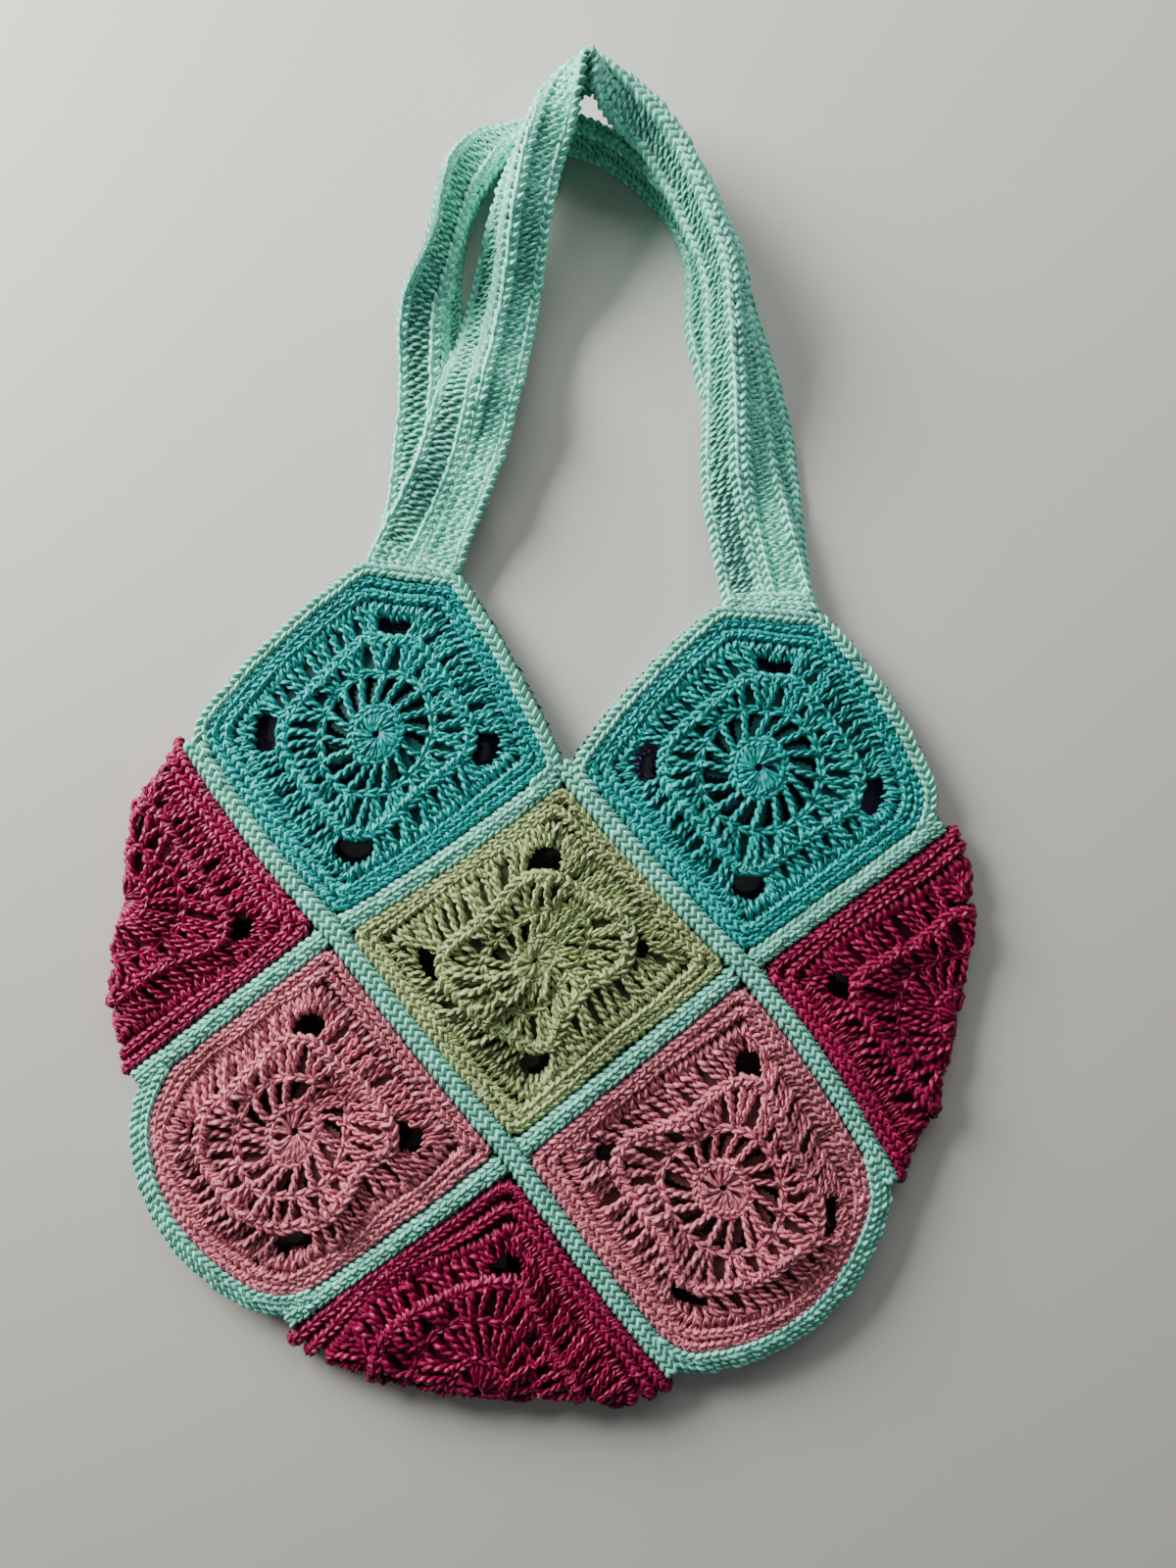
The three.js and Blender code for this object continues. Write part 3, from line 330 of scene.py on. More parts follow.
# Shares of the half side at which the rounds begin and end. The first rounds are round, and the others turn
# square from ROUND_SHARE on. The ridge runs straight across in front of a corner hole.
EYE = 0.03
EYE_ROUND = 0.17
EYE_RING = EYE_ROUND + 0.02
COLLAR = 0.225
BAR_FOOT = COLLAR - 0.03
SHUT_FOOT = COLLAR - 0.01
BAR_TOP = 0.42
BAR_HEAD = BAR_TOP + 0.01
BAR_RING = BAR_TOP + 0.02
GROUP_FOOT = BAR_TOP + 0.025
ROUND_SHARE = 0.46
RIDGE_SIDE = 0.6
RIDGE_CORNER = 0.745
RIDGE_SHARPNESS = 24
RIDGE_INSET = 0.02
SIDE_FOOT = RIDGE_SIDE + 0.025
POST_TOP = 0.8
HOLE_PLACE = 0.575
HOLE_ROUND = 0.165
ROWS = (0.835, 0.9, 0.965)

# Where the first bar stands, in steps from bar to bar, how far the bars slant, how many times that the eye's
# posts slant, and how many chain stitches of the rings there are for each bar
BAR_START = 0.75
BAR_SLANT = math.radians(-15)
EYE_SLANT = 1.6
EYE_RING_STITCHES = 1.5
BAR_RING_STITCHES = 2

# How far apart the posts of a group and of a side stand at foot and head, and how the fans spread
GROUP_SPREAD = (0.45, 1.02)
SIDE_SPREAD = (0.97, 1.04)
SIDE_REACH = 0.485
SIDE_DRAWN = 0.02
FAN_ANGLE = 98
FAN_HEAD_ANGLE = 14
FAN_LIMIT = 1.31

# How far the places of posts stray, in radians or, for the sides, in shares of the half side
STRAY = {
    "bar": 0.02, "bar_foot": 0.02, "bar_head": 0.03, "eye": 0.045, "eye_reach": 0.06,
    "group_foot": 0.012, "group_head": 0.02, "side_foot": 0.007, "side_head": 0.01,
    "fan_foot": 0.03, "fan_head": 0.006,
}

# Posts: their radius at foot and head, their height over the sheet and their tone, which for the eye's low
# posts is painted shade
Posts = namedtuple("Posts", "foot head high tone single", defaults=(1.0, False))
EYE_STYLE = Posts(YARN_RADIUS * 0.8, YARN_RADIUS * 1.3, -0.1, 0.86, True)
BAR_STYLE = Posts(ROPE_RADIUS, ROPE_RADIUS, 0.3)
SHUT_STYLE = Posts(ROPE_RADIUS, ROPE_RADIUS, 0.0)
GROUP_STYLE = Posts(ROPE_RADIUS * 0.92, ROPE_RADIUS * 1.28, 0.4)
SIDE_STYLE = Posts(ROPE_RADIUS * 0.92, ROPE_RADIUS * 1.12, 0.3)
FAN_STYLE = Posts(ROPE_RADIUS * 0.94, ROPE_RADIUS * 0.94, 0.2)

# How restless the stitches are: at least, and more for each millimetre that they wander. Posts sway by a
# share of it in the pattern and heave by a share in millimetres.
UNREST = (0.45, 0.3)
SWAY = 0.016
HEAVE = 0.75

# The wandering is a sum of waves: how many and how short they are, and how high they lift for a push of 1.
# The swirl and the waves die out towards the border.
WAVES = 7
WAVE_SPREAD = 3.2
WAVE_SWING = 0.5
WAVE_LIFT = 0.9
SWIRL_HOLD = 1.6
WAVE_HOLD = 3.5

# How high the ridge stands for each millimetre of wandering, and how unevenly
RIDGE_RISE = 0.9
RIDGE_STRAY = 0.3

# How many points the round paths have: the rings, the ridge and the rows
RING_STEPS = 97
RIDGE_STEPS = 289
ROW_STEPS = 361

# The ground sheet under the stitches: its shares of the half side, and half the width of a gap in steps from
# bar to bar, at the collar and how much more at the top
GROUND_SHARES = np.concatenate([
    [0.02, 0.13], np.linspace(COLLAR, BAR_TOP, 6), [0.5, 0.58], np.linspace(0.62, 1.0, 14),
])
GROUND_SECTORS = 8 * BARS
GROUND_DEPTH = -1.6
# The ground is drawn at a low tone, as painted shade seen between the stitches
GROUND_PAINTED_SHADE = 0.2
GAP_HALF = (0.11, 0.15)
HOLE_CLEAR = 0.98
SHEET_GRID = 49

# Colours in sRGB
COLOURS = {
    "mint": (0.53, 0.85, 0.77),
    "teal": (0.077, 0.655, 0.635),
    "green": (0.65, 0.715, 0.49),
    "pink": (0.83, 0.475, 0.535),
    "magenta": (0.59, 0.02, 0.272),
    "purple": (0.44, 0.34, 0.62),
}
FLOOR_COLOUR = (0.85, 0.838, 0.805)

# Cotton: its shine, the plies of a strand and their turns per millimetre, and how sharp the plies are
COTTON = {"Roughness": 0.43, "Specular IOR Level": 0.42, "Sheen Weight": 0.25, "Sheen Roughness": 0.4}
PLIES = 3
PLY_TURNS = 0.22
PLY_POWER = 0.6

# How much the plies, the side that faces up and slow patches change the tone, and the tone without them.
# The plies and the side that faces up are painted light and shade: lighter ply ridges and upper sides, darker
# ply grooves and undersides. The slow patches vary the tone at random.
PAINTED_PLY_SHADING = (0.4, 0.78)
PAINTED_TOP_SHADING = (0.2, 0.88)
PATCH_LIGHT = (0.3, 0.85)
PATCH_SCALE = 60
FIBRE_SCALE = 2600
FIBRE_SHARE = 0.25
NOISE_DETAIL = 2
BUMP_STRENGTH = 0.6
BUMP_DEPTH = 0.5

# The camera over the bag: its place, its turn about the upright axis and its lens
CAMERA_PLACE = (13.9, 87.6, 580.0)
CAMERA_TURN = 7.0
CAMERA_LENS = 26.0
CAMERA_SENSOR = 36.0

# The floor, and the lights as place, target and size in metres, power in watts and colour
FLOOR_REACH = 4000
FLOOR_DROP = 0.2
FLOOR_ROUGHNESS = 0.6
LIGHTS = {
    "window": ((-1.2, 0.9, 0.6), (0, 0.4, 0), (0.9, 0.7), 57, (1.0, 0.98, 0.95)),
    "ceiling": ((0.1, 1.3, 0.85), (0, 0.2, 0), (1.6, 0.8), 9, (0.97, 0.99, 1.0)),
}
ROOM_COLOUR = (0.9, 0.95, 1.0, 1)
ROOM_STRENGTH = 0.1


def smooth(share):
    return share * share * (3 - 2 * share)


def unit(vectors):
    length = np.linalg.norm(vectors, axis=-1, keepdims=True)
    return vectors / np.maximum(length, 1e-9)


def marks_along(points):
    """How far along a line each of its points is."""
    steps = np.linalg.norm(np.diff(points, axis=0), axis=1)
    return np.concatenate([[0], np.cumsum(steps)])


def read_line(values, marks, along):
    return np.stack([np.interp(along, marks, values[:, axis]) for axis in range(3)], axis=-1)


def quads(index):
    """The faces between the neighbours of a grid of point numbers."""
    return np.stack([index[:-1, :-1], index[1:, :-1], index[1:, 1:], index[:-1, 1:]], axis=-1)


def tube_frames(centres, normals):
    """The ways across and up from each point of centre lines, and how far along the points are."""
    ways = unit(np.gradient(centres, axis=1))
    across = unit(np.cross(ways, normals))
    steps = np.linalg.norm(np.diff(centres, axis=1), axis=2)
    lengths = np.concatenate([np.zeros((len(centres), 1)), np.cumsum(steps, axis=1)], axis=1)
    return across, np.cross(across, ways), lengths


def link(thing):
    bpy.context.scene.collection.objects.link(thing)
    return thing


# The plan is drawn with complex numbers: the real part runs across the bag, the imaginary part up it.
def corner(name):
    x, y = LATTICE[name][:2]
    return complex(x, y) * HALF_DIAGONAL


def lifted(plan, height):
    return np.stack(np.broadcast_arrays(plan.real, plan.imag, height), axis=-1)


def bowed_side(start, finish, ends):
    """A bowed line as a function of the share of its way, from the names of the side's two corners."""
    height = BOWS[ends] if ends in BOWS else -BOWS.get(ends[::-1], 0)
    way = finish - start
    left = 1j * way / abs(way)
    return lambda share: start + way * share + left * 4 * share * (1 - share) * (height * HALF_DIAGONAL)


def front_underside(plan):
    x = np.real(plan) / HALF_DIAGONAL
    y = np.imag(plan) / HALF_DIAGONAL
    far = ((x - BELLY[0]) ** 2 + (y - BELLY[1]) ** 2) / BELLY[2] ** 2
    height = WALL + EDGE_SPACE + BELLY_SPACE * np.maximum(0, 1 - far)
    for place_x, place_y, wide, high in WRINKLES:
        far = ((x - place_x) ** 2 + (y - place_y) ** 2) / wide ** 2
        height = height + HALF_DIAGONAL * high * np.exp(-far * WRINKLE_FALL)
    return height


def flat_underside(plan):
    return np.zeros(np.shape(plan))


LAYERS = (("front", front_underside, 1), ("back", flat_underside, -1))


def parts_of(angle):
    """The larger and the smaller part of each direction."""
    parts = np.abs(np.cos(angle)), np.abs(np.sin(angle))
    return np.maximum(*parts), np.minimum(*parts)


def plain_reach(angle):
    return 1 / parts_of(angle)[0]


def polar(reach, angle):
    return reach * np.cos(angle), reach * np.sin(angle)


def side_places(side, outward, along):
    """Turns a place of the right-hand side to one of the four sides."""
    return ((outward, along), (-along, outward), (-outward, -along), (along, -outward))[side]


class Patch:
    """A square with each side drawn in by its own depth, over s and t from -1 to 1."""

    def __init__(self, corners, depths):
        points = [corner(name) for name in corners]
        self.drawn = []
        for index, point in enumerate(points):
            ahead = points[(index + 1) % 4] - point
            behind = points[index - 1] - point
            ahead /= abs(ahead)
            behind /= abs(behind)
            sine = abs((ahead.conjugate() * behind).imag)
            self.drawn.append(point + behind * depths[index] / sine + ahead * depths[index - 1] / sine)
        self.sides = []
        for index, point in enumerate(self.drawn):
            to = (index + 1) % 4
            self.sides.append(bowed_side(point, self.drawn[to], corners[index] + corners[to]))
        self.cuts = [self.cut(corners, depths, index) for index in range(4)]

    def cut(self, corners, depths, index):
        """Whether a corner is cut straight, and its cut as a share of the half side."""
        ahead = self.drawn[(index + 1) % 4] - self.drawn[index]
        behind = self.drawn[index - 1] - self.drawn[index]
        side = (abs(ahead) + abs(behind)) / 2
        depth = max(depths[index], depths[index - 1])
        if corners[index] in STRAP_CORNERS:
            cosine = (ahead.conjugate() * behind).real / (abs(ahead) * abs(behind))
            half = math.acos(cosine) / 2
            height = STRAP_END_WIDTH / (2 * math.tan(half)) + depth - depth / math.sin(half)
            return True, 2 * height / (math.cos(half) * side)
        _, _, round_share, inner_share = LATTICE[corners[index]]
        radius = (inner_share if depth > 0 else round_share) * HALF_DIAGONAL
        return False, 2 * radius / side

    def place(self, s, t):
        u = (s + 1) / 2
        v = (t + 1) / 2
        low, right, high, left = self.sides
        across = low(u) * (1 - v) + high(1 - u) * v
        along = left(1 - v) * (1 - u) + right(v) * u
        a, b, c, d = self.drawn
        flat = (a * (1 - u) + b * u) * (1 - v) + (d * (1 - u) + c * u) * v
        return across + along - flat

    def reach(self, angle):
        """How far the cut square reaches from its middle, where an uncut side is 1 away."""
        quarter = np.floor(np.mod(angle, TURN) / (TURN / 4)).astype(int) % 4
        order = np.array([2, 3, 0, 1])[quarter]
        straight = np.array([cut[0] for cut in self.cuts])[order]
        share = np.array([cut[1] for cut in self.cuts])[order]
        more, less = parts_of(angle)
        middle = 1 - share
        towards = middle * (more + less)
        rounded = towards + np.sqrt(np.maximum(0, towards ** 2 - 2 * middle ** 2 + share ** 2))
        rounded = np.where(less / more < middle, 1 / more, rounded)
        return np.where(straight, np.minimum(1 / more, (2 - share) / (more + less)), rounded)


class PlainCuts:
    """The corners of a folded square are hardly cut."""

    def reach(self, angle):
        more, less = parts_of(angle)
        return np.minimum(1 / more, (2 - FOLDED_CUT) / (more + less))


class Sheet:
    """Cloth as a grid of points over u and v from 0 to 1, with outward normals."""

    def __init__(self, points, outward=1):
        self.points = points
        along = np.gradient(points, axis=0)
        across = np.gradient(points, axis=1)
        self.normals = unit(np.cross(along, across)) * outward

    def read(self, grid, u, v):
        rows, columns = grid.shape[:2]
        x = u * (rows - 1)
        y = v * (columns - 1)
        i = np.clip(np.floor(x).astype(int), 0, rows - 2)
        j = np.clip(np.floor(y).astype(int), 0, columns - 2)
        a = (x - i)[..., None]
        b = (y - j)[..., None]
        low = grid[i, j] * (1 - a) + grid[i + 1, j] * a
        high = grid[i, j + 1] * (1 - a) + grid[i + 1, j + 1] * a
        return low * (1 - b) + high * b

    def place(self, u, v, height=0.0):
        normals = unit(self.read(self.normals, u, v))
        return self.read(self.points, u, v) + normals * np.asarray(height)[..., None], normals


class Path:
    """A line on cloth, measured in millimetres, with its left side and its normal."""

    def __init__(self, points, normals, closed=False):
        self.marks = marks_along(points)
        self.length = self.marks[-1]
        self.closed = closed
        ways = np.gradient(points, axis=0)
        if closed:
            ways[0] = points[1] - points[-2]
            ways[-1] = ways[0]
        self.points = points
        self.lefts = unit(np.cross(normals, ways))
        self.normals = unit(np.cross(ways, self.lefts))

    def place(self, along, left, high):
        if self.closed:
            along = np.mod(along, self.length)
        points, lefts, normals = [
            read_line(values, self.marks, along) for values in (self.points, self.lefts, self.normals)
        ]
        normals = unit(normals)
        return points + lefts * left[..., None] + normals * high[..., None], normals


class Yarn:
    """Gathers the strands of one piece and makes them into one mesh of tubes."""

    def __init__(self, group, number, sides=STRAND_SIDES):
        self.chance = np.random.default_rng(SEEDS[group] + number)
        self.sides = sides
        self.points = []
        self.faces = []
        self.uvs = []
        self.tones = []
        self.count = 0

    def strands(self, centres, normals, radius, tone=1.0, sides=None):
        """Adds tubes along centres, shaped (strands, steps, 3)."""
        number, steps = centres.shape[:2]
        sides = sides or self.sides
        across, upward, lengths = tube_frames(centres, normals)
        radius = np.ones((number, steps)) * radius * self.chance.normal(1, THICKNESS_SPREAD, (number, 1))
        turn = TURN * np.arange(sides) / sides
        ring = across[:, :, None, :] * np.cos(turn)[:, None] + upward[:, :, None, :] * np.sin(turn)[:, None]
        points = centres[:, :, None, :] + ring * radius[:, :, None, None]
        index = np.arange(number * steps * sides).reshape(number, steps, sides) + self.count
        beside = np.roll(index, -1, axis=2)
        faces = np.stack([index[:, :-1], beside[:, :-1], beside[:, 1:], index[:, 1:]], axis=-1)
        here = np.arange(sides) / sides
        low, high, here = np.broadcast_arrays(lengths[:, :-1, None], lengths[:, 1:, None], here)
        there = here + 1 / sides
        uv = np.stack([low, here, low, there, high, there, high, here], axis=-1)
        own = self.chance.normal(0, TONE_SPREAD, (number, 1, 1)) + tone
        self.add(points, faces, uv, np.broadcast_to(own, index.shape))

    def ropes(self, centres, normals, radius, tone=1.0):
        """Adds posts: two strands that are twisted round each centre line."""
        number, given = centres.shape[:2]
        reach = np.linalg.norm(centres[:, -1] - centres[:, 0], axis=1).mean()
        steps = max(ROPE_LEAST_STEPS, round(reach / ROPE_STEP) + 1)
        at = np.linspace(0, given - 1, steps)
        index = np.minimum(at.astype(int), given - 2)
        part = (at - index)[:, None]
        centres = centres[:, index] * (1 - part) + centres[:, index + 1] * part
        normals = unit(normals[:, index] * (1 - part) + normals[:, index + 1] * part)
        radius = np.interp(at, np.arange(given), radius)
        across, upward, lengths = tube_frames(centres, normals)
        start = self.chance.uniform(0, TURN, (number, 1))
        for half in (0, TURN / 2):
            turn = (start + half + TURN * lengths / ROPE_TURN)[..., None]
            offset = (across * np.cos(turn) + upward * np.sin(turn)) * radius[:, None] * ROPE_OFFSET
            self.strands(centres + offset, normals, radius * ROPE_STRAND, tone, HIDDEN_SIDES)

    def ground(self, points, faces, tone):
        """Adds a plain sheet of quads under the stitches, in the tone it is given: under a square that tone
        is painted shade.
        """
        self.add(points, faces + self.count, np.zeros((faces.size, 2)), np.full(points.shape[:-1], tone))

    def add(self, points, faces, uv, tones):
        self.points.append(points.reshape(-1, 3))
        self.faces.append(faces.reshape(-1, 4))
        self.uvs.append(uv.reshape(-1, 2))
        self.tones.append(tones.reshape(-1))
        self.count += tones.size

    def piece(self, name, slot, replaced):
        points = np.concatenate(self.points)
        low = points[:, 2] < FLOOR_KNEE
        points[low, 2] = FLOOR_KNEE * np.exp(points[low, 2] / FLOOR_KNEE - 1)
        points = points * MM
        faces = np.concatenate(self.faces)
        mesh = bpy.data.meshes.new(name)
        mesh.vertices.add(len(points))
        mesh.vertices.foreach_set("co", points.ravel())
        mesh.loops.add(faces.size)
        mesh.loops.foreach_set("vertex_index", faces.ravel())
        mesh.polygons.add(len(faces))
        mesh.polygons.foreach_set("loop_start", np.arange(0, faces.size, 4))
        mesh.update(calc_edges=True)
        mesh.shade_smooth()
        mesh.uv_layers.new(name="yarn").data.foreach_set("uv", np.concatenate(self.uvs).ravel())
        tones = mesh.attributes.new("tone", "FLOAT", "POINT")
        tones.data.foreach_set("value", np.concatenate(self.tones))
        mesh.materials.append(MATERIALS[slot])
        thing = link(bpy.data.objects.new(name, mesh))
        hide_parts(replaced)
        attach(thing, "root")


def linear(colour):
    return tuple(((value + 0.055) / 1.055) ** 2.4 for value in colour)


def yarn_material(name, colour):
    """Mercerised cotton: plies that twist round the strand, a soft shine, tone from stitch to stitch, and
    painted light and shade on the plies and on each strand's upper and lower side.
    """
    material = bpy.data.materials.new(name)
    material.use_nodes = True
    nodes = material.node_tree.nodes
    links = material.node_tree.links
    shader = nodes["Principled BSDF"]
    red, green, blue = linear(colour)
    for socket, value in COTTON.items():
        shader.inputs[socket].default_value = value
    shader.inputs["Sheen Tint"].default_value = (red, green, blue, 1)

    def math_node(kind, *values):
        node = nodes.new("ShaderNodeMath")
        node.operation = kind
        for socket, value in zip(node.inputs, values):
            if isinstance(value, (int, float)):
                socket.default_value = value
            else:
                links.new(value, socket)
        return node.outputs[0]

    def noise(scale):
        node = nodes.new("ShaderNodeTexNoise")
        node.inputs["Scale"].default_value = scale
        node.inputs["Detail"].default_value = NOISE_DETAIL
        links.new(place.outputs["Object"], node.inputs["Vector"])
        return node.outputs["Fac"]

    place = nodes.new("ShaderNodeTexCoord")
    uv = nodes.new("ShaderNodeUVMap")
    uv.uv_map = "yarn"
    split = nodes.new("ShaderNodeSeparateXYZ")
    links.new(uv.outputs["UV"], split.inputs["Vector"])
    along = split.outputs["X"]
    around = split.outputs["Y"]
    # The plies' wave gives the bump, and also painted light on the ply ridges and painted shade in the
    # grooves
    wound = math_node("MULTIPLY_ADD", along, PLY_TURNS, math_node("MULTIPLY", around, PLIES))
    wave = math_node("SINE", math_node("MULTIPLY", wound, TURN))
    ply = math_node("POWER", math_node("MULTIPLY_ADD", wave, 0.5, 0.5), PLY_POWER)
    # The upper side of each strand is painted lighter and its underside darker: a painted highlight and
    # painted shade
    top = math_node("SINE", math_node("MULTIPLY", around, TURN))

    # The tone attribute holds random tone and the rows' painted shade; the plies and upper sides add painted
    # light and shade
    light = nodes.new("ShaderNodeAttribute")
    light.attribute_name = "tone"
    light = light.outputs["Fac"]
    for value, change in ((ply, PAINTED_PLY_SHADING), (top, PAINTED_TOP_SHADING), (noise(PATCH_SCALE), PATCH_LIGHT)):
        light = math_node("MULTIPLY", light, math_node("MULTIPLY_ADD", value, *change))
    tint = nodes.new("ShaderNodeVectorMath")
    tint.operation = "SCALE"
    tint.inputs[0].default_value = (red, green, blue)
    links.new(light, tint.inputs["Scale"])
    links.new(tint.outputs["Vector"], shader.inputs["Base Color"])

    bump = nodes.new("ShaderNodeBump")
    bump.inputs["Strength"].default_value = BUMP_STRENGTH
    bump.inputs["Distance"].default_value = BUMP_DEPTH * MM
    links.new(math_node("MULTIPLY_ADD", noise(FIBRE_SCALE), FIBRE_SHARE, ply), bump.inputs["Height"])
    links.new(bump.outputs["Normal"], shader.inputs["Normal"])
    return material


MATERIALS = {name: yarn_material("yarn_" + name, colour) for name, colour in COLOURS.items()}


def chain(yarn, path, row, left=0.0, fall=0.0):
    """A row of chain stitches along a path: each has two legs, like a braid that may fall to its sides."""
    count = max(1, round(path.length / row.pitch))
    pitch = path.length / count
    first = (pitch * np.arange(count))[:, None]
    wobble = yarn.chance.normal(0, CHAIN_WOBBLE, (count, 1))
    for side in (1, -1):
        along = first + pitch * CHAIN_LEG[:, 0] + side * wobble
        out = left + side * row.width * CHAIN_LEG[:, 1] + wobble
        heave = yarn.chance.normal(0, CHAIN_WOBBLE, (count, 1))
        height = row.high + row.radius * CHAIN_LEG[:, 2] + heave - fall * out ** 2
        points, normals = path.place(along, out, height)
        yarn.strands(points, normals, row.radius * CHAIN_LEG[:, 3], row.tone)


def short_rows(yarn, path, row, left=0.0):
    """A row of short stitches across a path: each is a small pair of strands that open like a V."""
    count = max(1, round(path.length / row.pitch))
    pitch = path.length / count
    first = (pitch * (np.arange(count) + yarn.chance.uniform(0, 0.5)))[:, None]
    share, rise, thick = SHORT_STRAND.T
    slant = yarn.chance.choice((-SHORT_SLANT, SHORT_SLANT))
    slant = slant + yarn.chance.normal(0, SHORT_SLANT_SPREAD, (count, 1))
    for side in (1, -1):
        stray = {name: yarn.chance.normal(0, spread, (count, 1)) for name, spread in SHORT_STRAY.items()}
        lean = pitch * (side * (SHORT_OPENING[0] + SHORT_OPENING[1] * share) + slant * share)
        along = first + pitch * 0.5 + lean + stray["along"]
        out = left + row.width * share + stray["out"]
        height = row.high + row.radius * (rise + SHORT_TILT * side) + stray["height"]
        points, normals = path.place(along, out, height)
        yarn.strands(points, normals, row.radius * thick, row.tone, HIDDEN_SIDES)


class Square:
    """A granny square on its sheet, with the way from the pattern to the cloth."""

    def __init__(self, sheet, patch, yarn, swirl, wander, dents=(), single=False):
        self.sheet = sheet
        self.patch = patch
        self.yarn = yarn
        self.dents = dents
        self.single = single
        self.swirl = math.radians(swirl)
        self.ridge_rise = wander * RIDGE_RISE
        self.unrest = UNREST[0] + UNREST[1] * wander
        self.slant = 0 if single else BAR_SLANT
        chance = yarn.chance
        self.waves = chance.normal(0, 1, (WAVES, 2)) * WAVE_SPREAD
        self.phases = chance.uniform(0, TURN, WAVES)
        self.pushes = chance.normal(0, 1, (WAVES, 3)) * np.array([wander, wander, wander * WAVE_LIFT])

    def tuck(self, s, t):
        """Draws the pattern in where a corner of the cloth is cut."""
        angle = np.arctan2(t, s)
        plain = plain_reach(angle)
        share = np.clip(np.hypot(s, t) / plain, 0, 1)
        factor = 1 + (self.patch.reach(angle) / plain - 1) * smooth(share)
        return s * factor, t * factor

    def bend(self, s, t):
        """Swirls and wanders the pattern, least at the border. Gives s, t and a lift in millimetres."""
        edge = np.clip(1 - np.maximum(np.abs(s), np.abs(t)), 0, 1)
        turn = self.swirl * smooth(np.clip(edge * SWIRL_HOLD, 0, 1))
        far = s * np.cos(turn) - t * np.sin(turn)
        up = s * np.sin(turn) + t * np.cos(turn)
        hold = np.clip(edge * WAVE_HOLD, 0, 1)
        lift = 0
        for wave, phase, push in zip(self.waves, self.phases, self.pushes):
            swing = np.sin(s * wave[0] + t * wave[1] + phase) * hold * WAVE_SWING
            far = far + swing * push[0] / HALF_SIDE
            up = up + swing * push[1] / HALF_SIDE
            lift = lift + swing * push[2]
        for place_s, place_t, width, push_s, push_t, rise in self.dents:
            near = np.exp(-((s - place_s) ** 2 + (t - place_t) ** 2) / width ** 2)
            far = far + near * push_s / HALF_SIDE
            up = up + near * push_t / HALF_SIDE
            lift = lift + near * rise
        return far, up, lift

    def lay(self, s, t, height):
        far, up, lift = self.bend(*self.tuck(s, t))
        return self.sheet.place((far + 1) / 2, (up + 1) / 2, height + lift)

    def path(self, s, t):
        return Path(*self.lay(s, t, 0.0), closed=True)

    def posts(self, foot, head, style, rise=0.0):
        """Ropes or single strands from feet to heads, both (s, t) pairs of arrays."""
        chance = self.yarn.chance
        radius = np.linspace(style.foot, style.head, len(POST_SHARE))
        s, t = [low[:, None] * (1 - POST_SHARE) + high[:, None] * POST_SHARE for low, high in zip(foot, head)]
        sway = chance.normal(0, self.unrest * SWAY, (len(s), 1)) * np.sin(np.pi * POST_SHARE)
        heave = chance.normal(0, self.unrest * HEAVE, (len(s), 1))
        height = style.high + rise + radius * POST_RISE * POST_RELIEF + heave
        points, normals = self.lay(s + sway, t - sway, height)
        if self.single or style.single:
            self.yarn.strands(points, normals, radius * SINGLE_SHARE * POST_THICK, style.tone)
        else:
            self.yarn.ropes(points, normals, radius * POST_THICK, style.tone)


def ring(share, angle):
    """A point of the pattern in s and t: round near the middle and square at the border."""
    squareness = smooth(np.clip((share - ROUND_SHARE) / (1 - ROUND_SHARE), 0, 1))
    return polar(share * (1 + (plain_reach(angle) - 1) * squareness), angle)


def ridge_reach(angle):
    """How far the raised ridge is from the middle: along the sides, and straight across the corners."""
    to_corner = np.mod(angle, TURN / 4) - TURN / 8
    side = RIDGE_SIDE * plain_reach(angle)
    across = RIDGE_CORNER / np.cos(to_corner)
    return (side ** -RIDGE_SHARPNESS + across ** -RIDGE_SHARPNESS) ** (-1 / RIDGE_SHARPNESS)


def bar_angle(step):
    """The angle of a place that is counted in steps from bar to bar."""
    return (step + BAR_START) * TURN / BARS


def ground_sheet(square, closed_gaps, hole_sizes):
    """The cloth under the stitches, drawn dark as painted shade between them, with gaps between the bars and
    corner holes left open.
    """
    angle = np.arange(GROUND_SECTORS) * TURN / GROUND_SECTORS
    s, t = ring(*np.meshgrid(GROUND_SHARES, angle, indexing="ij"))
    points, _ = square.lay(s, t, GROUND_DEPTH)
    index = np.arange(s.size).reshape(s.shape)
    faces = quads(np.concatenate([index, index[:, :1]], axis=1))
    angle = (angle + TURN / GROUND_SECTORS / 2)[None, :]
    share = (GROUND_SHARES[1:] + GROUND_SHARES[:-1])[:, None] / 2
    along = (share - COLLAR) / (BAR_TOP - COLLAR)
    bar = (angle - square.slant * along) / TURN * BARS - BAR_START
    between = np.abs(np.mod(bar, 1) - 0.5) < GAP_HALF[0] + GAP_HALF[1] * along
    is_open = ~closed_gaps[np.mod(np.floor(bar), BARS).astype(int)]
    is_gap = (along > 0) & (along < 1) & between & is_open
    s, t = ring(share, angle)
    across = np.hypot(np.abs(s) - HOLE_PLACE, np.abs(t) - HOLE_PLACE)
    size = np.array(hole_sizes)[np.where(t > 0, np.where(s > 0, 0, 1), np.where(s > 0, 3, 2))]
    is_outside = np.abs(s) + np.abs(t) > RIDGE_CORNER * math.sqrt(2) * HOLE_CLEAR
    is_hole = (across < HOLE_ROUND * size) & is_outside
    square.yarn.ground(points, faces[~(is_gap | is_hole)], GROUND_PAINTED_SHADE)


def ring_chain(square, share, row, stitches):
    """A round chain with so many stitches for each bar."""
    path = square.path(*polar(share, np.linspace(0, TURN, RING_STEPS)))
    chain(square.yarn, path, row._replace(pitch=path.length / (stitches * BARS)))


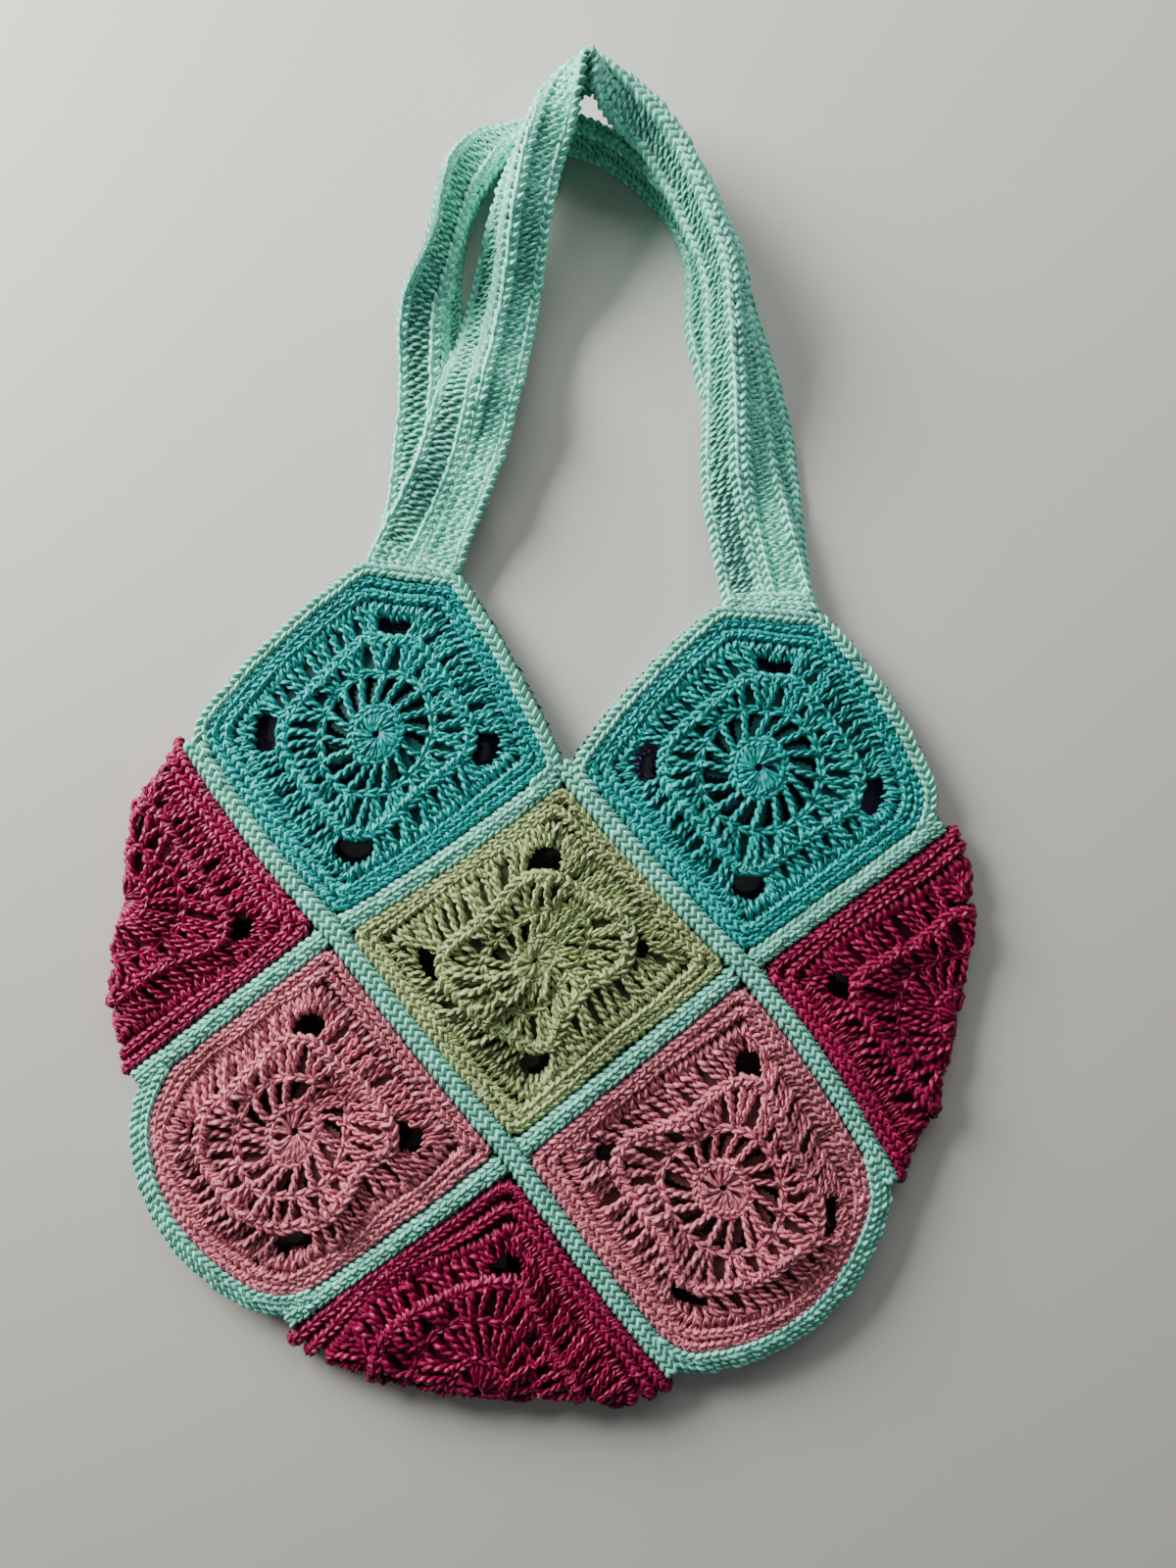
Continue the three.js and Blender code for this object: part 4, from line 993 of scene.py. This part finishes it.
def first_rounds(square, closed_gaps):
    """The eye with its posts, and the bars with gaps between them."""
    chance = square.yarn.chance
    bars = bar_angle(np.arange(BARS)) + chance.normal(0, STRAY["bar"], BARS)
    eye = np.arange(EYE_POSTS) * TURN / EYE_POSTS + chance.normal(0, STRAY["eye"], EYE_POSTS)
    reach = EYE_ROUND * chance.normal(1, STRAY["eye_reach"], EYE_POSTS)
    square.posts(polar(EYE, eye), polar(reach, eye + EYE_SLANT * square.slant), EYE_STYLE)
    ring_chain(square, EYE_RING, EYE_CHAIN, EYE_RING_STITCHES)
    foot = bars + chance.normal(0, STRAY["bar_foot"], BARS)
    head = bars + square.slant + chance.normal(0, STRAY["bar_head"], BARS)
    square.posts(polar(BAR_FOOT, foot), polar(BAR_HEAD, head), BAR_STYLE)
    if closed_gaps.any():
        shut = bar_angle(np.flatnonzero(closed_gaps) + 0.5)
        square.posts(polar(SHUT_FOOT, shut), polar(BAR_TOP, shut + square.slant), SHUT_STYLE)
    ring_chain(square, BAR_RING, BAR_CHAIN, BAR_RING_STITCHES)


def third_round(square):
    """Groups of posts up to the ridge, and the raised ridge itself."""
    yarn = square.yarn
    chance = yarn.chance
    count = GROUP * BARS
    own = np.arange(count)
    group = bar_angle(own // GROUP + 0.5)
    spread = (own % GROUP - (GROUP - 1) / 2) * TURN / BARS / GROUP
    foot = group + spread * GROUP_SPREAD[0] + chance.normal(0, STRAY["group_foot"], count)
    head = group + spread * GROUP_SPREAD[1] + chance.normal(0, STRAY["group_head"], count)
    rise = square.ridge_rise * POST_SHARE ** 2
    square.posts(polar(GROUP_FOOT, foot), polar(ridge_reach(head) - RIDGE_INSET, head), GROUP_STYLE, rise)
    line = np.linspace(0, TURN, RIDGE_STEPS)
    ridge = square.path(*polar(ridge_reach(line), line))
    ridge.points += ridge.normals * chance.normal(0, RIDGE_STRAY, (len(line), 1))
    chain(yarn, ridge, RIDGE_CHAIN._replace(high=square.ridge_rise + RIDGE_CHAIN.high))
    short_rows(yarn, ridge, RIDGE_FEET._replace(high=square.ridge_rise + RIDGE_FEET.high), RIDGE_CHAIN.high)


def side_posts(square):
    """The straight posts between the ridge and the rows."""
    chance = square.yarn.chance
    along = np.linspace(-SIDE_REACH, SIDE_REACH, SIDE_COUNT)
    drawn = SIDE_DRAWN * (np.arange(SIDE_COUNT) % GROUP - 1)
    rise = square.ridge_rise * POST_SHARE[::-1] ** 3
    far = np.ones(SIDE_COUNT)
    for side in range(4):
        foot = along * SIDE_SPREAD[0] - drawn + chance.normal(0, STRAY["side_foot"], SIDE_COUNT)
        head = along * SIDE_SPREAD[1] + chance.normal(0, STRAY["side_head"], SIDE_COUNT)
        ends = side_places(side, SIDE_FOOT * far, foot), side_places(side, POST_TOP * far, head)
        square.posts(*ends, SIDE_STYLE, rise)


def corner_fans(square, hole_sizes):
    """The posts that fan out round each corner hole."""
    chance = square.yarn.chance
    fan = np.radians(np.linspace(-FAN_ANGLE, FAN_ANGLE, FAN_COUNT))
    spread = np.radians(np.linspace(-FAN_HEAD_ANGLE, FAN_HEAD_ANGLE, FAN_COUNT))
    for quarter, size in enumerate(hole_sizes):
        diagonal = TURN / 8 + quarter * TURN / 4
        middle = polar(HOLE_PLACE * math.sqrt(2), diagonal)
        around = polar(HOLE_ROUND * size, diagonal + fan + chance.normal(0, STRAY["fan_foot"], FAN_COUNT))
        foot = [centre + part for centre, part in zip(middle, around)]
        to = diagonal + spread + chance.normal(0, STRAY["fan_head"], FAN_COUNT)
        square.posts(foot, polar(POST_TOP * np.minimum(plain_reach(to), FAN_LIMIT), to), FAN_STYLE)


def border_rows(square):
    """Dense rows of short stitches between the posts and the border, with chains on the outer two."""
    line = np.linspace(0, TURN, ROW_STEPS)
    for number, share in enumerate(ROWS):
        path = square.path(*ring(share, line))
        short_rows(square.yarn, path, BORDER_FEET)
        if number and not square.single:
            chain(square.yarn, path, BORDER_CHAIN)


def granny(square, closed_gaps, hole_sizes):
    first_rounds(square, closed_gaps)
    third_round(square)
    side_posts(square)
    corner_fans(square, hole_sizes)
    border_rows(square)
    ground_sheet(square, closed_gaps, hole_sizes)


def flat_sheet(patch, underside, outward=1):
    line = np.linspace(-1, 1, SHEET_GRID)
    plan = patch.place(*np.meshgrid(line, line, indexing="ij"))
    lift = BACK_LIFT if outward < 0 else 0
    return Sheet(lifted(plan, underside(plan) + WALL / 2 + lift), outward)


def add_squares():
    for number, (name, row) in enumerate(SQUARES.items()):
        patch = Patch(row.corners, [SIDE_DEPTHS[kind] + PIECE_GAP for kind in row.sides])
        yarn = Yarn("front", number)
        square = Square(flat_sheet(patch, front_underside), patch, yarn, row.swirl, row.wander, row.dents)
        granny(square, yarn.chance.random(BARS) < row.closed, row.holes)
        yarn.piece(f"look_front_{name}", row.front, f"front_{name}_square")
        yarn = Yarn("back", number, HIDDEN_SIDES)
        square = Square(flat_sheet(patch, flat_underside, -1), patch, yarn, 0, BACK_WANDER, single=True)
        granny(square, np.zeros(BARS, bool), BACK_HOLES)
        yarn.piece(f"look_back_{name}", row.back, f"back_{name}_square")


def resample(points, count):
    marks = marks_along(points)
    return read_line(points, marks, np.linspace(0, marks[-1], count))


def fold_row(fold, edge):
    """The middle of the cloth from the front edge over the fold to the back edge, as two halves."""
    inward = (edge - fold) / abs(edge - fold)
    radius = (front_underside(fold) + WALL) / 2
    across = min(radius, abs(edge - fold) * FOLD_ARC_LIMIT)
    plan = edge + (fold + inward * across - edge) * np.linspace(0, 1, FOLD_HALF_STEPS)
    front = lifted(plan, front_underside(plan) + WALL / 2)
    back = lifted(plan, WALL / 2)[::-1]
    angle = np.linspace(np.pi / 2, -np.pi / 2, 2 * FOLD_HALF_STEPS + 1)
    out = across - (across - WALL / 2 * min(1, across / (2 * WALL))) * np.cos(angle)
    arc = lifted(fold + inward * out, radius + (radius - WALL / 2) * np.sin(angle))
    over = np.concatenate([front[:-1], arc[:FOLD_HALF_STEPS + 1]])
    under = np.concatenate([arc[FOLD_HALF_STEPS:], back[1:]])
    return resample(over, 2 * FOLD_HALF_STEPS), resample(under, 2 * FOLD_HALF_STEPS)


def folded_sheet(name):
    """A square folded along its diagonal round the bag's edge, as a sheet over its pattern."""
    first, inner, last = FOLDED[name]
    ends = (corner(first), corner(last))
    middle = corner(inner)
    outward = (ends[0] + ends[1]) / 2 - middle
    clear = SEAM_WIDTH / 2 + PIECE_GAP
    arms = [(end - middle) / abs(end - middle) for end in ends]
    angle = math.acos((arms[0].conjugate() * arms[1]).real)
    shortened = clear / math.tan(angle / 2)
    legs = []
    for start, finish in ((first, inner), (inner, last)):
        way = corner(finish) - corner(start)
        left = 1j * way / abs(way)
        offset = left * np.sign((left.conjugate() * outward).real) * clear
        side = bowed_side(corner(start), corner(finish), start + finish)
        legs.append((side, offset, shortened / abs(way)))
    across = 1j * (ends[1] - ends[0]) / abs(ends[1] - ends[0])
    bulge = across * np.sign((across.conjugate() * outward).real)
    rows = []
    for share in np.linspace(0, 1, FOLD_GRID):
        inside = min(max(share, FOLD_TIP), 1 - FOLD_TIP)
        swell = np.interp(inside, FOLD_ALONG, FOLD_BULGES[name]) * HALF_DIAGONAL
        fold = ends[0] + (ends[1] - ends[0]) * inside + bulge * swell
        is_first = inside < 0.5
        side, offset, cut = legs[0] if is_first else legs[1]
        part = inside * 2 * (1 - cut) if is_first else cut + (inside * 2 - 1) * (1 - cut)
        over, under = fold_row(fold, side(part) + offset)
        rows.append(np.concatenate([over, under[1:]]))
    rows = np.array(rows)
    line = np.linspace(0, 1, FOLD_GRID)
    u, v = np.meshgrid(line, line, indexing="ij")
    along = (u + v) / 2
    room = np.maximum(1 - np.abs(2 * along - 1), 1e-6)
    over = np.clip((u - v) / room, -1, 1)
    points = Sheet(rows).read(rows, along, (1 - over) / 2)
    upward = Sheet(points).normals[int(FOLD_GRID * 0.75), int(FOLD_GRID * 0.25), 2]
    return Sheet(points, 1 if upward > 0 else -1)


def add_folded():
    for number, name in enumerate(FOLDED):
        yarn = Yarn("folded", number)
        square = Square(folded_sheet(name), PlainCuts(), yarn, FOLDED_SWIRL, FOLDED_WANDER)
        granny(square, np.ones(BARS, bool), FOLDED_HOLES)
        yarn.piece(f"look_folded_{name}", "magenta", f"folded_{name}_square")


def flat_path(plan, underside, facing):
    high = underside(plan) + SEAM_THICKNESS / 2 + (BACK_LIFT if facing < 0 else 0)
    return Path(lifted(plan, high), np.tile([0.0, 0.0, float(facing)], (len(plan), 1)))


def seam_path(row, underside, facing):
    """The middle line of a seam with its normals, drawn back from the seam that it stops on."""
    names, starts_on, ends_on = row
    line = []
    for start, finish in zip(names, names[1:]):
        side = bowed_side(corner(start), corner(finish), start + finish)
        line.append(side(np.linspace(0, 1, SEAM_STEPS))[1 if line else 0:])
    plan = np.concatenate(line)
    for end, crossing in ((0, starts_on), (-1, ends_on)):
        near = corner(names[end])
        at_mouth = crossing is None and names[end] == MOUTH_CORNER
        cut = 0 if at_mouth else SEAM_TRIM
        if crossing:
            way = corner(crossing[1]) - corner(crossing[0])
            inward = plan[SEAM_LOOK if end == 0 else -1 - SEAM_LOOK] - near
            sine = abs((way.conjugate() * inward).imag) / (abs(way) * abs(inward))
            cut = SEAM_WIDTH * SEAM_REACH / sine
        plan = plan[np.abs(plan - near) > cut]
        if at_mouth:
            beyond = near + (plan[0] - plan[1]) / abs(plan[0] - plan[1]) * MOUTH_REACH
            plan = np.concatenate([[beyond], plan])
    return flat_path(plan, underside, facing)


def add_seams():
    """Each seam is two rows of chain stitches side by side, with short stitches under those of the front."""
    for number, (name, row) in enumerate(SEAMS.items()):
        for layer, underside, facing in LAYERS:
            yarn = Yarn("seam", number)
            path = seam_path(row, underside, facing)
            for left in (BRAID_REACH, -BRAID_REACH):
                chain(yarn, path, BRAID_CHAIN, left, BRAID_FALL)
                if facing > 0:
                    short_rows(yarn, path, BRAID_FEET, left * BRAID_FEET_REACH)
            yarn.piece(f"look_{layer}_seam_{name}", "mint", f"{layer}_seam_{name}")


def border_line(square_name, side, width):
    """The inner line of a border along one side of a square and the ways outward from it."""
    corners, sides = SQUARES[square_name][:2]
    inner = Patch(corners, [SIDE_DEPTHS[kind] if kind != "side" else width for kind in sides])
    middle = (side - 1) * TURN / 4
    angles = middle + np.radians(np.linspace(-BORDER_ANGLE, BORDER_ANGLE, BORDER_STEPS))
    line = inner.place(*polar(inner.reach(angles), angles))
    way = np.gradient(line)
    return line, -1j * way / np.abs(way)


def add_rims():
    for number, (name, (square, side)) in enumerate(RIMS.items()):
        inner, outward = border_line(square, side, RIM_WIDTH)
        for layer, underside, facing in LAYERS:
            yarn = Yarn("rim", number)
            path = flat_path(inner + outward * RIM_WIDTH / 2, underside, facing)
            chain(yarn, path, RIM_CHAIN, RIM_CHAIN_LEFT * facing)
            short_rows(yarn, path, RIM_FEET, RIM_FEET_LEFT * facing)
            yarn.piece(f"look_{layer}_rim_{name}", "mint", f"{layer}_rim_{name}")


def add_side_seams():
    for number, (name, (square, side)) in enumerate(SIDE_SEAMS.items()):
        inner, outward = border_line(square, side, SIDE_SEAM_WIDTH)
        yarn = Yarn("side", number)
        for out, drop in SIDE_ROWS:
            path = flat_path(inner + outward * out, front_underside, 1)
            path.points[:, 2] -= drop
            chain(yarn, path, SIDE_CHAIN)
            short_rows(yarn, path, SIDE_FEET)
        plan = inner + outward * SIDE_SEAM_WIDTH * SIDE_WALL_SHARE
        top = front_underside(plan) + SEAM_THICKNESS / 2
        for share in SIDE_WALLS:
            short_rows(yarn, Path(lifted(plan, top * share), lifted(outward, 0.0)), SIDE_WALL)
        yarn.piece(f"look_{name}", "mint", name)


def cubic(values, share):
    """Reads rows of a table at shares of its way, smoothly between them."""
    values = np.asarray(values, float)
    scaled = share * (len(values) - 1)
    index = np.minimum(len(values) - 2, np.floor(scaled).astype(int))
    part = (scaled - index).reshape((-1,) + (1,) * (values.ndim - 1))
    a, b, c, d = [values[np.clip(index + offset, 0, len(values) - 1)] for offset in (-1, 0, 1, 2)]
    leave = (c - a) / 2
    arrive = (d - b) / 2
    square = part * part
    cube = square * part
    return (b * (2 * cube - 3 * square + 1) + leave * (cube - 2 * square + part)
            + c * (3 * square - 2 * cube) + arrive * (cube - square))


def strap_seat(square_name):
    """The middle of a strap's end on a peak, and the way up from it."""
    corners = SQUARES[square_name].corners
    index = next(place for place, name in enumerate(corners) if name in STRAP_CORNERS)
    patch = Patch(corners, [0, 0, 0, 0])
    share = patch.cuts[index][1]
    first, second = [
        patch.place(*side_places((index + 3) % 4, out, along))
        for along, out in ((-1 + share, 1), (-1, 1 - share))
    ]
    way = (first - second) / abs(first - second)
    up = 1j * way * np.sign(way.real)
    return (first + second) / 2 + up * 2 * PIECE_GAP, up


def strap_sections(rows):
    """The strap's stations: their places, outward ways and sections of (out, high) points."""
    seats = [strap_seat("peak_left"), strap_seat("peak_right")]
    base = seats[1][0] - seats[0][0]
    up = 1j * base / abs(base)
    table = cubic(rows, np.linspace(0, 1, STRAP_STEPS + 1))
    plan = seats[0][0] + base * table[:, 0] + up * table[:, 1] * STRAP_REACH
    near_end = np.maximum(0, 1 - table[:, 1] / STRAP_END_SHARE)
    half = (STRAP_WIDTH + (STRAP_END_WIDTH - STRAP_WIDTH) * near_end) / 2
    way = np.gradient(plan)
    outward = 1j * way / np.abs(way)
    outward[0] = 1j * seats[0][1]
    outward[-1] = -1j * seats[1][1]
    roll = np.radians(table[:, 2])[:, None]
    roof = np.radians(table[:, 3])[:, None]
    out = half[:, None] * np.array(STRAP_COLUMNS)
    flat = out * np.cos(roof) - 1j * np.abs(out) * np.sin(roof)
    upper = flat * np.exp(-1j * roll)
    way = np.empty_like(upper)
    way[:, 1:-1] = upper[:, 2:] - upper[:, :-2]
    way[:, 0] = upper[:, 1] - upper[:, 0]
    way[:, -1] = upper[:, -1] - upper[:, -2]
    lower = upper + 1j * way / np.abs(way) * STRAP_THICKNESS
    return plan, outward, upper, lower


def strap_sheet(rows, below=None):
    """A strap's sheet, and the places and heights of its surface for a strap that lies on it."""
    plan, outward, upper, lower = strap_sections(rows)
    section = np.concatenate([upper, lower], axis=1)
    needs = np.zeros(len(plan))
    if below is not None:
        wide = np.abs(section.real).max(axis=1)
        for index, place in enumerate(plan):
            near = np.abs(below[0] - place) < wide[index] + CROSSING_MARGIN
            needs[index] = max(0, (below[1][near] + 2 * PIECE_GAP).max(initial=0))
        for end in (0, -1):
            needs[end] = max(needs[end], front_underside(plan[end]))
        far = np.abs(plan[:, None] - plan[None, :])
        needs = (needs[None, :] - STRAP_CLIMB * far).max(axis=1)
    lift = (needs - section.imag.min(axis=1))[:, None]
    where = plan[:, None] + outward[:, None] * section.real
    middle = (upper + lower) / 2
    points = lifted(plan[:, None] + outward[:, None] * middle.real, middle.imag + lift)
    fine = cubic(points, np.linspace(0, 1, STRAP_FINE_STEPS))
    across = cubic(fine.transpose(1, 0, 2), np.linspace(0, 1, STRAP_FINE_COLUMNS)).transpose(1, 0, 2)
    upward = Sheet(across).normals[len(across) // 8, STRAP_FINE_COLUMNS // 2, 2]
    return Sheet(across, 1 if upward > 0 else -1), (where.ravel(), (section.imag + lift).ravel())


def sheet_path(sheet, v):
    u = np.linspace(0, 1, STRAP_PATH_STEPS)
    return Path(*sheet.place(u, np.full(u.shape, v)))


def add_strap(name, sheet, number):
    """A strap: an edge chain on each side, posts across and a raised double rib in the middle."""
    yarn = Yarn("strap", number)
    for place, row in STRAP_CHAINS:
        chain(yarn, sheet_path(sheet, place), row)
    middle = sheet_path(sheet, 0.5)
    length = middle.length
    shares = np.linspace(0, 1, len(middle.marks))
    count = int(length / STRAP_RUNG_PITCH)
    for foot, head in STRAP_RUNGS:
        lean = yarn.chance.normal(0, STRAP_RUNG_STRAY["lean"], (count, 1)) + STRAP_RUNG_LEAN
        along = (np.arange(count)[:, None] + 0.5) * length / count + lean * (POST_SHARE - 0.5) * STITCH_PITCH
        u = np.interp(along, middle.marks, shares)
        v = np.broadcast_to(foot + (head - foot) * POST_SHARE, u.shape)
        heave = yarn.chance.normal(0, STRAP_RUNG_STRAY["height"], (count, 1))
        high = YARN_RADIUS * POST_RISE * STRAP_RUNG_RELIEF + STRAP_RUNG_HIGH + heave
        points, normals = sheet.place(u, v, high)
        yarn.ropes(points, normals, ROPE_RADIUS * POST_THICK, STRAP_PAINTED_LIGHT)
    for far in STRAP_BANDS:
        for along in (far, length - far):
            v = np.linspace(*STRAP_BAND_ENDS, STRAP_BAND_STEPS)
            u = np.full(v.shape, np.interp(along, middle.marks, shares))
            chain(yarn, Path(*sheet.place(u, v)), STRAP_BAND)
    # The ground under the rungs gets the strap's painted light too
    u = np.linspace(0, 1, STRAP_FINE_STEPS)
    v = np.linspace(*STRAP_EDGES, STRAP_GROUND_COLUMNS)
    points, _ = sheet.place(*np.meshgrid(u, v, indexing="ij"), STRAP_RUNG_HIGH)
    index = np.arange(points[..., 0].size).reshape(points.shape[:2])
    yarn.ground(points, quads(index), STRAP_PAINTED_LIGHT)
    yarn.piece("look_" + name, "mint", name)


def add_straps():
    back, surface = strap_sheet(BACK_STRAP)
    front, _ = strap_sheet(FRONT_STRAP, surface)
    add_strap("back_strap", back, 0)
    add_strap("front_strap", front, 1)


def add_floor():
    size = FLOOR_REACH * MM
    mesh = bpy.data.meshes.new("floor")
    corners = [(-size, -size, 0), (size, -size, 0), (size, size, 0), (-size, size, 0)]
    mesh.from_pydata(corners, [], [(0, 1, 2, 3)])
    floor = link(bpy.data.objects.new("floor", mesh))
    floor.location.z = -FLOOR_DROP * MM
    material = bpy.data.materials.new("floor")
    material.use_nodes = True
    shader = material.node_tree.nodes["Principled BSDF"]
    shader.inputs["Base Color"].default_value = (*linear(FLOOR_COLOUR), 1)
    shader.inputs["Roughness"].default_value = FLOOR_ROUGHNESS
    mesh.materials.append(material)


def add_area_light(name, place, target, size, power, colour):
    light = bpy.data.lights.new(name, "AREA")
    light.shape = "RECTANGLE"
    light.size, light.size_y = size
    light.energy = power
    light.color = colour
    thing = link(bpy.data.objects.new(name, light))
    thing.location = place
    toward = np.array(target) - np.array(place)
    yaw = math.atan2(toward[1], toward[0])
    pitch = math.atan2(math.hypot(toward[0], toward[1]), -toward[2])
    thing.rotation_euler = (pitch, 0, yaw - math.pi / 2)


def add_lights():
    for name, row in LIGHTS.items():
        add_area_light(name, *row)
    world = bpy.data.worlds.new("room")
    world.use_nodes = True
    background = world.node_tree.nodes["Background"]
    background.inputs["Color"].default_value = ROOM_COLOUR
    background.inputs["Strength"].default_value = ROOM_STRENGTH
    bpy.context.scene.world = world


def add_camera():
    camera = bpy.data.cameras.new("camera")
    camera.sensor_fit = "VERTICAL"
    camera.sensor_height = CAMERA_SENSOR
    camera.lens = CAMERA_LENS
    thing = link(bpy.data.objects.new("camera", camera))
    thing.location = [value * MM for value in CAMERA_PLACE]
    thing.rotation_euler = (0, 0, math.radians(CAMERA_TURN))
    bpy.context.scene.camera = thing


add_camera()
add_lights()
add_floor()
add_squares()
add_folded()
add_seams()
add_rims()
add_side_seams()
add_straps()
